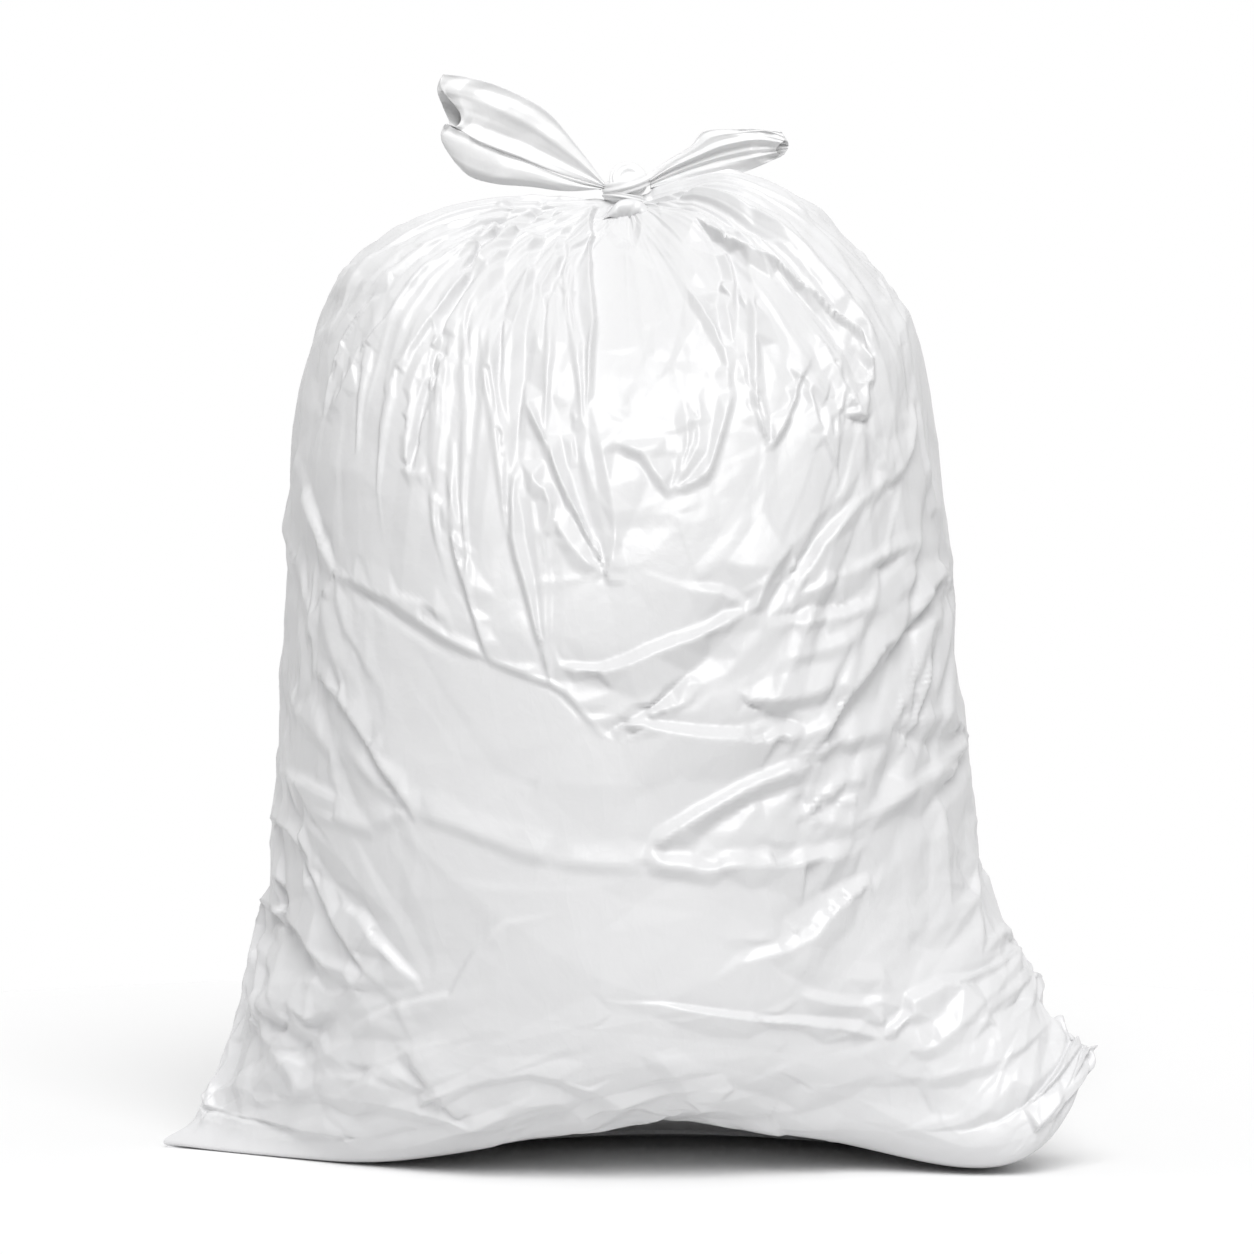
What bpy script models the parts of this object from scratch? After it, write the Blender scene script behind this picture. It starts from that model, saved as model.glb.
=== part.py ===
"""A full bin bag of thin white film, knotted at the mouth and standing on its filled base.

The bag is one tube of film with a straight seal across its bottom. Its body is lofted through rings that
follow four meridians, one for each side. Gathers run out of the neck, creases cross the walls, and the
seal ends in two flat corners. The mouth is tied in one knot, which leaves an ear of film on each side.
Sizes are in metres. X points to the right, Y away from the viewer and Z up, with the floor at zero.
"""

import math
from collections import namedtuple

import bmesh
import bpy
import numpy as np
from mathutils import Matrix, Vector

# Neck, where the film passes into the knot
NECK_HEIGHT = 0.664
NECK_RADIUS = 0.013

# Widest reach of the standing body on each side of its axis
CHEST_LEFT = 0.230
CHEST_RIGHT = 0.216
BELLY_LEFT = 0.245
BELLY_RIGHT = 0.245
BELLY_FRONT = 0.206
BELLY_BACK = 0.206
WAIST_HEIGHT = 0.370
BELLY_HEIGHT = 0.255

# Corners at the two ends of the bottom seal
LEFT_CORNER_REACH = 0.323
LEFT_CORNER_HEIGHT = 0.006
RIGHT_CORNER_REACH = 0.315
RIGHT_CORNER_HEIGHT = 0.080
RIGHT_CORNER_FORWARD = 0.115
CORNER_SWING_START = 0.140
LEFT_CORNER_PINCH = 1.7
SEAL_ROUNDING = 0.05

# Hollow under the front edge of the base
ARCH_HEIGHT = 0.036
ARCH_CENTRE = 0.030
ARCH_HALF_SPAN = 0.235
ARCH_BACK = 0.070
ARCH_FRONT = -0.110
ARCH_FADE_HEIGHT = 0.160

# Gathers
GATHERS = 38
GATHER_DEPTH = 0.0062
GATHER_REACH = 0.36

# Knot and the two ears of film that leave it
KNOT_WIDTH = 0.032
KNOT_HEIGHT = 0.028
EAR_ROOT_RADIUS = 0.0075
LEFT_EAR_LENGTH = 0.132
LEFT_EAR_WIDTH = 0.070
LEFT_EAR_RISE = 24.5
RIGHT_EAR_LENGTH = 0.108
RIGHT_EAR_WIDTH = 0.032
RIGHT_EAR_RISE = 18.0
EAR_NOTCH = 0.012

# Faces
COLUMNS = 264
ROWS = 116
BODY_FACES = 9000
LEVEL_WITHIN = 0.0004
EAR_RINGS = 17
EAR_COLUMNS = 24
FILM_WHITE = (0.86, 0.86, 0.87, 1.0)

Station = namedtuple("Station", "left right front back point corner")
Crease = namedtuple("Crease", "side route width height form")


def stations():
    """Rings from the neck to the seal, as (reach, height) on each side of the axis.

    point is how sharply the ring ends at its corners, from 1, an ellipse, to 2, a wedge.
    corner is how fast its height leaves that of the corner, going round from it.
    """
    neck, waist, belly = NECK_HEIGHT, WAIST_HEIGHT, BELLY_HEIGHT
    left_reach, low = LEFT_CORNER_REACH, LEFT_CORNER_HEIGHT
    right_reach, high = RIGHT_CORNER_REACH, RIGHT_CORNER_HEIGHT
    left, right, front, back = BELLY_LEFT, BELLY_RIGHT, BELLY_FRONT, BELLY_BACK
    return [
        Station((NECK_RADIUS * 0.7, neck + 0.006), (NECK_RADIUS * 0.7, neck + 0.006),
                (NECK_RADIUS * 0.7, neck + 0.006), (NECK_RADIUS * 0.7, neck + 0.006), 1.0, 2),
        Station((NECK_RADIUS, neck), (NECK_RADIUS, neck + 0.003),
                (NECK_RADIUS, neck - 0.005), (NECK_RADIUS, neck), 1.0, 2),
        Station((0.045, neck - 0.001), (0.040, neck + 0.011), (0.036, neck - 0.023), (0.042, neck - 0.006), 1.0, 2),
        Station((0.104, neck - 0.009), (0.072, neck + 0.015), (0.066, neck - 0.046), (0.080, neck - 0.022), 1.0, 2),
        Station((0.150, neck - 0.024), (0.112, neck - 0.001), (0.102, neck - 0.078), (0.120, neck - 0.054), 1.0, 2),
        Station((0.185, neck - 0.048), (0.152, neck - 0.032), (0.136, neck - 0.122), (0.154, neck - 0.100), 1.0, 2),
        Station((0.204, neck - 0.076), (0.190, neck - 0.068), (0.163, neck - 0.180), (0.178, neck - 0.160), 1.0, 2),
        Station((0.217, neck - 0.108), (0.206, neck - 0.098), (0.180, neck - 0.240), (0.192, neck - 0.222), 1.0, 2),
        Station((CHEST_LEFT, neck - 0.175), (CHEST_RIGHT, neck - 0.175),
                (0.193, neck - 0.310), (0.199, neck - 0.292), 1.0, 2),
        Station((CHEST_LEFT + 0.006, waist), (CHEST_RIGHT + 0.016, waist),
                (front - 0.005, waist - 0.082), (back - 0.004, waist - 0.076), 1.02, 2),
        Station((left, belly), (right, belly), (front, belly - 0.052), (back, belly - 0.048), 1.08, 2),
        Station((left + 0.005, belly - 0.072), (right + 0.012, belly - 0.072),
                (front, 0.140), (back - 0.001, 0.144), 1.2, 2),
        Station((left + 0.018, 0.116), (right + 0.034, 0.136), (front - 0.004, 0.086), (back - 0.008, 0.090), 1.40, 3),
        Station((left + 0.040, 0.052), (right_reach - 0.023, high + 0.027), (front - 0.015, 0.040), (back - 0.024, 0.044), 1.65, 6),
        Station((left_reach - 0.022, low + 0.015), (right_reach, high + 0.004), (front - 0.042, 0.010),
                (back - 0.052, 0.012), 1.8, 9),
        Station((left_reach, low), (right_reach, high - 0.012), (front - 0.085, 0.0), (back - 0.090, 0.0), 1.85, 12),
        Station((left_reach - 0.002, 0.001), (right_reach - 0.010, high - 0.025), (0.0, 0.0), (0.0, 0.0), 1.85, 14),
    ]


def spline(values, places):
    """Catmull-Rom curve through evenly numbered values, read at the given places."""
    values = np.asarray(values, float)
    last = len(values) - 1
    start = np.clip(np.floor(places).astype(int), 0, last - 1)
    t = (places - start)[:, None]
    before, after = np.clip(start - 1, 0, last), np.clip(start + 2, 0, last)
    a, b, c, d = values[before], values[start], values[start + 1], values[after]
    return 0.5 * (2 * b + (c - a) * t + (2 * a - 5 * b + 4 * c - d) * t**2 + (3 * b - a - 3 * c + d) * t**3)


def smooth(value, low, high):
    """0 below low, 1 above high and an even S between them."""
    t = np.clip((value - low) / (high - low), 0.0, 1.0)
    return t * t * (3 - 2 * t)


def base_lift(x, y, z):
    """How far the hollow under the front edge raises a point of the base."""
    across = np.clip((x - ARCH_CENTRE) / ARCH_HALF_SPAN, -1, 1)
    span = np.cos(across * math.pi / 2) ** 2
    depth = smooth(-y, -ARCH_BACK, -ARCH_FRONT)
    fade = 1 - smooth(z, 0.0, ARCH_FADE_HEIGHT)
    return ARCH_HEIGHT * span * depth * fade


def plain_body(around, along):
    """Points of the body without its gathers, for angles around and places along the stations."""
    made = stations()
    last = len(made) - 1
    sides = [spline([getattr(s, side) for s in made], along * last) for side in ("left", "right", "front", "back")]
    left, right, front, back = (side[:, None, :] for side in sides)
    point, corner = spline([(s.point, s.corner) for s in made], along * last).T[:, :, None]
    c, s = np.cos(around)[None, :], np.sin(around)[None, :]
    side, face = np.where(c[..., None] < 0, left, right), np.where(s[..., None] < 0, front, back)
    x = side[..., 0] * c
    pinch = 1 + (point - 1) * np.where(c < 0, LEFT_CORNER_PINCH, 1.0)
    wedge = SEAL_ROUNDING * np.abs(s) + (1 - SEAL_ROUNDING) * np.abs(s) ** pinch
    y = face[..., 0] * np.sign(s) * wedge
    sideways = np.abs(c) ** corner
    z = side[..., 1] * sideways + face[..., 1] * (1 - sideways)
    low = 1 - smooth(z, 0.05, 0.24)
    y = y - RIGHT_CORNER_FORWARD * smooth(x, CORNER_SWING_START, RIGHT_CORNER_REACH) * low
    return np.stack([x, y, z + base_lift(x, y, z)], axis=-1)


def normals_of(points):
    """Outward unit normals of a grid of points that closes round its columns."""
    across = np.roll(points, -1, axis=1) - np.roll(points, 1, axis=1)
    down = np.gradient(points, axis=0)
    out = np.cross(down, across)
    return out / np.maximum(np.linalg.norm(out, axis=-1, keepdims=True), 1e-9)


def gathers(around, down):
    """Depth of the pleats that leave the neck, by angle and by length of film down from the neck."""
    chance = np.random.default_rng(7)
    depth = np.zeros((len(down), len(around)))
    spacing = 2 * math.pi / GATHERS
    for number in range(GATHERS):
        centre = (number + chance.uniform(-0.3, 0.3)) * spacing
        half = spacing * chance.uniform(0.42, 0.85)
        height = GATHER_DEPTH * chance.uniform(0.55, 1.25)
        end = GATHER_REACH * chance.uniform(0.55, 1.1)
        bend = chance.uniform(-0.5, 0.5) * spacing
        run = np.clip(down / end, 0, 1)[:, None]
        offset = (around[None, :] - centre - bend * run + math.pi) % (2 * math.pi) - math.pi
        across = np.clip(np.abs(offset) / (half * (1 - 0.35 * run)), 0, 1)
        rise = smooth(down, 0.0, 0.055)[:, None] * (1 - run) ** 0.6
        depth += height * rise * (1 - across) ** 1.5
    return depth


def on_body(points, side, spots):
    """Points of the body that lie behind spots of the front view, or before them on the back."""
    facing = points[..., 1] < 0 if side == "front" else points[..., 1] > 0
    candidates = points[facing]
    found = []
    for x, z in spots:
        nearest = np.argmin((candidates[:, 0] - x) ** 2 + (candidates[:, 2] - z) ** 2)
        found.append(candidates[nearest])
    return np.array(found)


def crease_depth(points, normals, crease):
    """How far one crease moves each point along its normal."""
    route = on_body(points, crease.side, crease.route)
    steps = np.linspace(0, len(route) - 1, 8 * len(route))
    path = spline(route, steps)
    flat = points.reshape(-1, 3)
    start, leg = path[:-1], np.diff(path, axis=0)
    share = np.einsum("nmk,mk->nm", flat[:, None, :] - start[None], leg)
    share = np.clip(share / np.maximum((leg**2).sum(1), 1e-12), 0, 1)
    nearest = start[None] + share[..., None] * leg[None]
    gap = np.linalg.norm(flat[:, None, :] - nearest, axis=-1)
    leg_of = gap.argmin(axis=1)
    rows = np.arange(len(flat))
    run = (leg_of + share[rows, leg_of]) / len(leg)
    away = flat - nearest[rows, leg_of]
    crossing = np.cross(normals.reshape(-1, 3), leg[leg_of])
    over = np.sign(np.einsum("nk,nk->n", away, crossing)) * gap[rows, leg_of]
    width = crease.width * (1.0 - 0.45 * run)
    if crease.form == "lap":
        shape = smooth(over, -width, 0.0) * (1 - smooth(over, 0.0, 3 * width))
    elif crease.form == "swag":
        reach = np.maximum(crease.width * (1 - run) ** 0.7, 0.0001)
        shape = 1 - smooth(np.abs(over) / reach, 0.35, 1.15)
    else:
        shape = np.clip(1 - (over / width) ** 2, 0, 1) ** 2
    ends = smooth(run, 0.0, 0.18) * (1 - smooth(run, 0.86, 1.0))
    return (crease.height * shape * ends).reshape(points.shape[:2])


# Creases of the film, as routes over the front view (x to the right, z up) from the root to the tip of each
CREASES = [
    Crease("front", [(-0.017, 0.640), (-0.021, 0.600), (-0.022, 0.548)], 0.016, 0.006, "lap"),
    Crease("front", [(0.020, 0.650), (0.083, 0.627), (0.135, 0.590), (0.171, 0.545)], 0.022, -0.010, "lap"),
    Crease("front", [(0.052, 0.632), (0.070, 0.600), (0.074, 0.560)], 0.018, -0.009, "crease"),
    Crease("front", [(0.008, 0.615), (0.030, 0.540), (0.053, 0.470)], 0.050, 0.007, "swag"),
    Crease("front", [(0.105, 0.590), (0.105, 0.540), (0.102, 0.495)], 0.030, 0.007, "swag"),
    Crease("front", [(0.128, 0.550), (0.140, 0.515), (0.147, 0.477)], 0.020, 0.006, "swag"),
    Crease("front", [(-0.035, 0.560), (-0.020, 0.480), (-0.009, 0.398)], 0.040, 0.008, "swag"),
    Crease("front", [(-0.085, 0.600), (-0.082, 0.500), (-0.077, 0.428)], 0.024, 0.007, "swag"),
    Crease("front", [(-0.130, 0.590), (-0.146, 0.530), (-0.148, 0.475)], 0.026, 0.008, "swag"),
    Crease("front", [(-0.175, 0.590), (-0.205, 0.550), (-0.210, 0.515)], 0.018, 0.006, "swag"),
    Crease("front", [(-0.150, 0.560), (-0.165, 0.500), (-0.171, 0.462)], 0.018, 0.006, "swag"),
    Crease("front", [(-0.094, 0.343), (-0.052, 0.327), (-0.018, 0.292)], 0.030, 0.006, "lap"),
    Crease("front", [(-0.011, 0.337), (0.040, 0.352), (0.110, 0.390), (0.150, 0.430)], 0.028, 0.007, "crease"),
    Crease("front", [(-0.018, 0.294), (0.040, 0.320), (0.085, 0.368), (0.120, 0.410)], 0.030, 0.006, "crease"),
    Crease("front", [(0.084, 0.315), (0.120, 0.322), (0.163, 0.328)], 0.020, 0.005, "crease"),
    Crease("front", [(0.125, 0.276), (0.165, 0.330), (0.200, 0.400)], 0.024, 0.007, "crease"),
    Crease("front", [(0.187, 0.297), (0.205, 0.340), (0.215, 0.400)], 0.018, 0.005, "crease"),
    Crease("front", [(-0.144, 0.237), (-0.070, 0.210), (0.015, 0.199), (0.110, 0.203), (0.160, 0.225)], 0.030, 0.006, "crease"),
    Crease("front", [(-0.215, 0.335), (-0.180, 0.285), (-0.144, 0.237)], 0.022, 0.006, "crease"),
    Crease("front", [(-0.013, 0.109), (0.070, 0.099), (0.180, 0.080)], 0.022, 0.005, "crease"),
    Crease("front", [(0.176, 0.080), (0.220, 0.115), (0.245, 0.132)], 0.022, 0.007, "crease"),
    Crease("front", [(-0.250, 0.176), (-0.215, 0.145), (-0.180, 0.125)], 0.020, 0.006, "crease"),
    Crease("front", [(-0.265, 0.103), (-0.235, 0.080), (-0.190, 0.060)], 0.018, 0.005, "crease"),
    Crease("front", [(0.318, 0.072), (0.262, 0.040), (0.195, 0.012)], 0.022, 0.007, "crease"),
    Crease("front", [(-0.286, 0.044), (-0.225, 0.026), (-0.165, 0.018)], 0.018, 0.006, "crease"),
    Crease("back", [(-0.060, 0.640), (-0.085, 0.560), (-0.080, 0.470)], 0.032, 0.008, "swag"),
    Crease("back", [(0.020, 0.640), (0.040, 0.540), (0.030, 0.430)], 0.040, 0.008, "swag"),
    Crease("back", [(0.110, 0.620), (0.140, 0.540), (0.135, 0.455)], 0.028, 0.008, "swag"),
    Crease("back", [(-0.150, 0.590), (-0.175, 0.520), (-0.165, 0.440)], 0.026, 0.007, "swag"),
    Crease("back", [(-0.190, 0.330), (-0.080, 0.290), (0.060, 0.300), (0.170, 0.350)], 0.030, 0.007, "crease"),
    Crease("back", [(0.150, 0.215), (0.060, 0.180), (-0.060, 0.190)], 0.026, 0.006, "crease"),
    Crease("back", [(-0.210, 0.230), (-0.150, 0.150), (-0.090, 0.100)], 0.024, 0.006, "crease"),
    Crease("back", [(0.230, 0.170), (0.180, 0.110), (0.120, 0.060)], 0.024, 0.006, "crease"),
    Crease("back", [(0.040, 0.430), (-0.020, 0.350), (-0.120, 0.300)], 0.026, 0.006, "crease"),
]


def body_points():
    """The grid of the finished body, one row for each ring, from the neck to the seal."""
    around = np.linspace(0, 2 * math.pi, COLUMNS, endpoint=False)
    along = np.linspace(0, 1, ROWS)
    points = plain_body(around, along)
    normals = normals_of(points)
    down = np.concatenate([[0], np.linalg.norm(np.diff(points, axis=0), axis=-1).mean(axis=1).cumsum()])
    depth = gathers(around, down)
    for crease in CREASES:
        depth += crease_depth(points, normals, crease)
    low = smooth(points[..., 2], 0.0, 0.030) * (1 - smooth(along, 0.88, 0.96))[:, None]
    points = points + normals * (depth * low)[..., None]
    points[..., 2] = np.maximum(points[..., 2], 0.0)
    return points


def film_material():
    """Glossy white film."""
    material = bpy.data.materials.new("white_film")
    material.use_nodes = True
    shader = material.node_tree.nodes["Principled BSDF"]
    shader.inputs["Base Color"].default_value = FILM_WHITE
    shader.inputs["Roughness"].default_value = 0.3
    shader.inputs["Metallic"].default_value = 0.0
    return material


def ring_solid(name, points, seamed=False):
    """A mesh through rings of points. It has flat ends, or one pressed shut into a seam."""
    made = bmesh.new()
    rings = [[made.verts.new(p) for p in ring] for ring in points]
    if seamed:
        seam = rings[-1]
        for k in range(len(seam) // 2 + 1, len(seam)):
            made.verts.remove(seam[k])
            seam[k] = seam[len(seam) - k]
    else:
        made.faces.new(rings[-1][::-1])
    for upper, lower in zip(rings, rings[1:]):
        for k in range(len(upper)):
            after = (k + 1) % len(upper)
            made.faces.new((upper[k], lower[k], lower[after], upper[after]))
    made.faces.new(rings[0])
    bmesh.ops.triangulate(made, faces=[f for f in made.faces if len(f.verts) > 4])
    bmesh.ops.recalc_face_normals(made, faces=made.faces)
    mesh = bpy.data.meshes.new(name)
    made.to_mesh(mesh)
    made.free()
    obj = bpy.data.objects.new(name, mesh)
    bpy.context.scene.collection.objects.link(obj)
    return obj


def swept(name, path, sections):
    """A solid whose sections, each a list of (across, through, ahead) points, are set square to a path."""
    path = [Vector(p) for p in path]
    rings = []
    for number, (centre, section) in enumerate(zip(path, sections)):
        ahead = path[min(number + 1, len(path) - 1)] - path[max(number - 1, 0)]
        ahead.normalize()
        across = ahead.cross(Vector((0, 1, 0))).normalized()
        through = across.cross(ahead).normalized()
        rings.append([centre + across * u + through * v + ahead * w for u, v, w in section])
    return ring_solid(name, rings)


def ear(name, side, length, width, rise, end_width):
    """A tail of film beyond the knot: round at its root, then a flat fan of two lobes with a groove between."""
    root = Vector((0, 0, NECK_HEIGHT + 0.006))
    slope = math.radians(rise)
    heading = Vector((side * math.cos(slope), -0.05, math.sin(slope)))
    path, sections = [], []
    for t in np.linspace(0, 1, EAR_RINGS):
        path.append(root + heading * (length * t))
        open_share = float(smooth(t, 0.0, 0.82))
        closing = 1 - (1 - end_width) * float(smooth(t, 0.82, 1.0))
        half = EAR_ROOT_RADIUS + (width / 2 * closing - EAR_ROOT_RADIUS) * open_share
        notch = EAR_NOTCH * float(smooth(t, 0.6, 1.0))
        section = []
        for a in np.linspace(0, 2 * math.pi, EAR_COLUMNS, endpoint=False):
            middle = math.sin(a) ** 2
            groove = 1 - 0.62 * open_share * middle**2
            ripple = 1 + 0.12 * math.sin(5 * a + 3 * t)
            through = EAR_ROOT_RADIUS * (1 - 0.2 * t) * math.sin(a) * groove * ripple
            section.append((half * math.cos(a), through, -notch * middle))
        sections.append(section)
    return swept(name, path, sections)


def knot():
    """The turn of film drawn tight round the neck: a lump with one wrap slanting across it."""
    centre = Vector((-0.002, -0.004, NECK_HEIGHT + 0.006))
    rings = []
    for down in np.linspace(0.06, math.pi - 0.06, 18):
        ring = []
        for round_angle in np.linspace(0, 2 * math.pi, 30, endpoint=False):
            slant = 2.2 * math.cos(down) - math.cos(round_angle + 0.9)
            wrap = 1 + 0.20 * math.exp(-((slant / 0.55) ** 2)) + 0.03 * math.sin(6 * round_angle + 4 * down)
            reach = KNOT_WIDTH / 2 * wrap
            ring.append(centre + Vector((reach * math.sin(down) * math.cos(round_angle),
                                         0.9 * reach * math.sin(down) * math.sin(round_angle),
                                         KNOT_HEIGHT / KNOT_WIDTH * reach * math.cos(down))))
        rings.append(ring)
    return ring_solid("knot", rings)


def join(body, pieces):
    """Unites the pieces with the body and removes them."""
    for piece in pieces:
        union = body.modifiers.new("join_" + piece.name, "BOOLEAN")
        union.operation = "UNION"
        union.object = piece
        bpy.context.view_layer.objects.active = body
        bpy.ops.object.modifier_apply(modifier=union.name)
        bpy.data.objects.remove(piece)


def thin_out(body, faces):
    """Collapses edges where the film is flat, down to the number of faces, and keeps the underside level."""
    mesh = body.data
    mesh.calc_loop_triangles()
    lighter = body.modifiers.new("lighter", "DECIMATE")
    lighter.ratio = faces / len(mesh.loop_triangles)
    lighter.use_collapse_triangulate = True
    bpy.context.view_layer.objects.active = body
    bpy.ops.object.modifier_apply(modifier=lighter.name)
    for vertex in mesh.vertices:
        if vertex.co.z < LEVEL_WITHIN:
            vertex.co.z = 0.0


def centre(body):
    """Moves the bag so that its outline, seen from above, is centred on the origin."""
    spots = np.array([vertex.co for vertex in body.data.vertices])
    middle = (spots.min(axis=0) + spots.max(axis=0)) / 2
    body.data.transform(Matrix.Translation((-middle[0], -middle[1], 0.0)))


def main():
    for obj in list(bpy.data.objects):
        bpy.data.objects.remove(obj, do_unlink=True)
    bag = ring_solid("bin_bag", body_points(), seamed=True)
    thin_out(bag, BODY_FACES)
    left = ear("left_ear", -1, LEFT_EAR_LENGTH, LEFT_EAR_WIDTH, LEFT_EAR_RISE, 0.8)
    right = ear("right_ear", 1, RIGHT_EAR_LENGTH, RIGHT_EAR_WIDTH, RIGHT_EAR_RISE, 0.55)
    join(bag, [knot(), left, right])
    centre(bag)
    bag.data.shade_smooth()
    bag.data.materials.append(film_material())


main()
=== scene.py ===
"""Full bin bag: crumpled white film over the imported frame, with its knot, ears, bottom seal and stage."""

import math
from collections import namedtuple

import bmesh
import bpy
import numpy as np
from bpy.props import FloatProperty, FloatVectorProperty, IntProperty, PointerProperty
from mathutils import Euler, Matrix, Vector, geometry


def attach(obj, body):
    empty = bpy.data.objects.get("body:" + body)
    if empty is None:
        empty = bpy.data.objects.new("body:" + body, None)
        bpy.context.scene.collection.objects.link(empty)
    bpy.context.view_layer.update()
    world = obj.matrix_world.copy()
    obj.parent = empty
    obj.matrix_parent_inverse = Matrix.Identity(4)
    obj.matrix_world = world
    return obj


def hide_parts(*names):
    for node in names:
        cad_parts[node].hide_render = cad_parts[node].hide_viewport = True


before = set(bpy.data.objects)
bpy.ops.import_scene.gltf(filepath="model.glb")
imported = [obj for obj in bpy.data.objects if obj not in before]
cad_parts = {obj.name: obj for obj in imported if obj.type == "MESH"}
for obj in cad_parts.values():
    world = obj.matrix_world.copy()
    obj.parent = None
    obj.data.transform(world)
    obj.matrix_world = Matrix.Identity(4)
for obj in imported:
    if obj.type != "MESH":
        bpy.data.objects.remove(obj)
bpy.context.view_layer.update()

bl_info = {
    "name": "Full Bin Bag",
    "version": (1, 0, 0),
    "blender": (4, 5, 0),
    "location": "3D View > Sidebar > Bin Bag",
    "description": "Dresses the frame of a full bin bag in crumpled film and sets up its stage",
    "category": "Object",
}

NODE, SLOT, BODY = "bin_bag", "film", "root"

# The bag's main measures, in metres
NECK_HEIGHT = 0.664
NECK_RADIUS = 0.013
CHEST_LEFT, CHEST_RIGHT = 0.230, 0.216
BELLY_LEFT, BELLY_RIGHT, BELLY_FRONT, BELLY_BACK = 0.245, 0.245, 0.206, 0.206
WAIST_HEIGHT, BELLY_HEIGHT = 0.370, 0.255
LEFT_CORNER_REACH, LEFT_CORNER_HEIGHT = 0.323, 0.006
RIGHT_CORNER_REACH, RIGHT_CORNER_HEIGHT, RIGHT_CORNER_FORWARD = 0.315, 0.080, 0.115
CORNER_SWING_START, LEFT_CORNER_PINCH, SEAL_ROUNDING = 0.140, 1.7, 0.05
ARCH_HEIGHT, ARCH_CENTRE, ARCH_HALF_SPAN = 0.036, 0.030, 0.235
ARCH_BACK, ARCH_FRONT, ARCH_FADE = 0.070, -0.110, 0.160
# How far the frame's own centring moved it, and the eye of the front view that the creases are placed from
SHIFT = (0.00355, 0.0)
EYE = (0.0057, -3.995, 0.569)
EYE_PITCH = 2.9
# Sides of the round floor, and how light the room is from below to above, as places and shares
FLOOR_SIDES = 96
ROOM_TONES = [(0.0, 0.30), (0.45, 0.45), (0.60, 1.0), (1.0, 1.6)]

# The sheet laid flat, the grid that settles, and how many times finer the finished film is
UNROLLED_RADIUS = (BELLY_LEFT + BELLY_RIGHT + BELLY_FRONT + BELLY_BACK) / 4
SHEET_LENGTH = 1.5 * NECK_HEIGHT
COLUMNS, ROWS, FINER = 240, 141, 4
EAR_STEPS = 72
FILM_THICKNESS = 0.0006
# How far creases run on past the place where the sheet meets itself, so that the net closes there
OVERLAP = 0.15
# A millimetre, a thousandth of the neck's height, and the height in millimetres from which a ridge is broad
MM = 0.001
MARK = NECK_HEIGHT / 1000
BROAD_FROM = 5.0
# How far the long and the short gathers run from the neck, and the smooth panel at the front, in degrees
GATHER_REACH, SHORT_GATHER_REACH = 0.36, 0.30
PANEL_MIDDLE, PANEL_SIDE, PANEL_END = 284, 22, 38
# Corners of the facets between the creases: how many are tried, the space between them, how much less it is
# in a crowd and the share of it that a crease keeps clear. Then how far a crease's height carries, how much
# of it is kept and how it fades, how much the corners' own heights vary, and the tallest crease
CORNER_TRIES = 2600
CORNER_SPACE, CROWD_LESS, CREASE_CLEAR = 0.050, 0.031, 0.45
CREASE_CARRY, CREASE_KEPT, CREASE_FADE = 0.020, 0.9, 0.2
CORNER_RISE, CROWD_RISE, TALLEST = 0.0022, 0.0026, 0.009
# Lines beside a crease of each form: how many of its widths away, the share of its height that they keep,
# how much their distance varies, and whether they are sharp. A tongue has no line of its own in its middle.
SIDE_LINES = {
    "lap": [(1.0, -0.25, 0.0, True), (-4.5, 0.10, 0.25, False)],
    "tongue": [(-0.28, 0.52, 0.0, True), (0.28, 0.52, 0.0, True),
               (-1.0, 0.0, 0.1, True), (1.0, 0.0, 0.1, True)],
    "thin ridge": [(1.4, 0.0, 0.25, False), (-3.0, 0.15, 0.25, False)],
    "broad ridge": [(1.5, 0.0, 0.25, False)],
}
# How often the relief is softened before the film settles, and its movement afterwards
SOFTENED, EVENED = 40, 14
CLOTH = {
    "quality": 6,
    "mass": 0.05,
    "tension_stiffness": 25,
    "compression_stiffness": 25,
    "shear_stiffness": 12,
    "bending_stiffness": 0.08,
    "air_damping": 2.0,
    "use_pressure": True,
    "pin_stiffness": 0.5,
}

Station = namedtuple("Station", "left right front back point corner")
Facets = namedtuple("Facets", "spacing stretch turn height places")

# Rings of the shoulders, for the left, right, front and back: the share of that side's widest reach, and how
# far the ring lies below the neck as a share of its height
SHOULDERS = [
    ((0.184, 0.002), (0.163, -0.017), (0.175, 0.035), (0.204, 0.009)),
    ((0.424, 0.014), (0.294, -0.023), (0.320, 0.069), (0.388, 0.033)),
    ((0.612, 0.036), (0.457, 0.002), (0.495, 0.117), (0.583, 0.081)),
    ((0.755, 0.072), (0.620, 0.048), (0.660, 0.184), (0.748, 0.151)),
    ((0.833, 0.114), (0.776, 0.102), (0.791, 0.271), (0.864, 0.241)),
    ((0.886, 0.163), (0.841, 0.148), (0.874, 0.361), (0.932, 0.334)),
]

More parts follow.
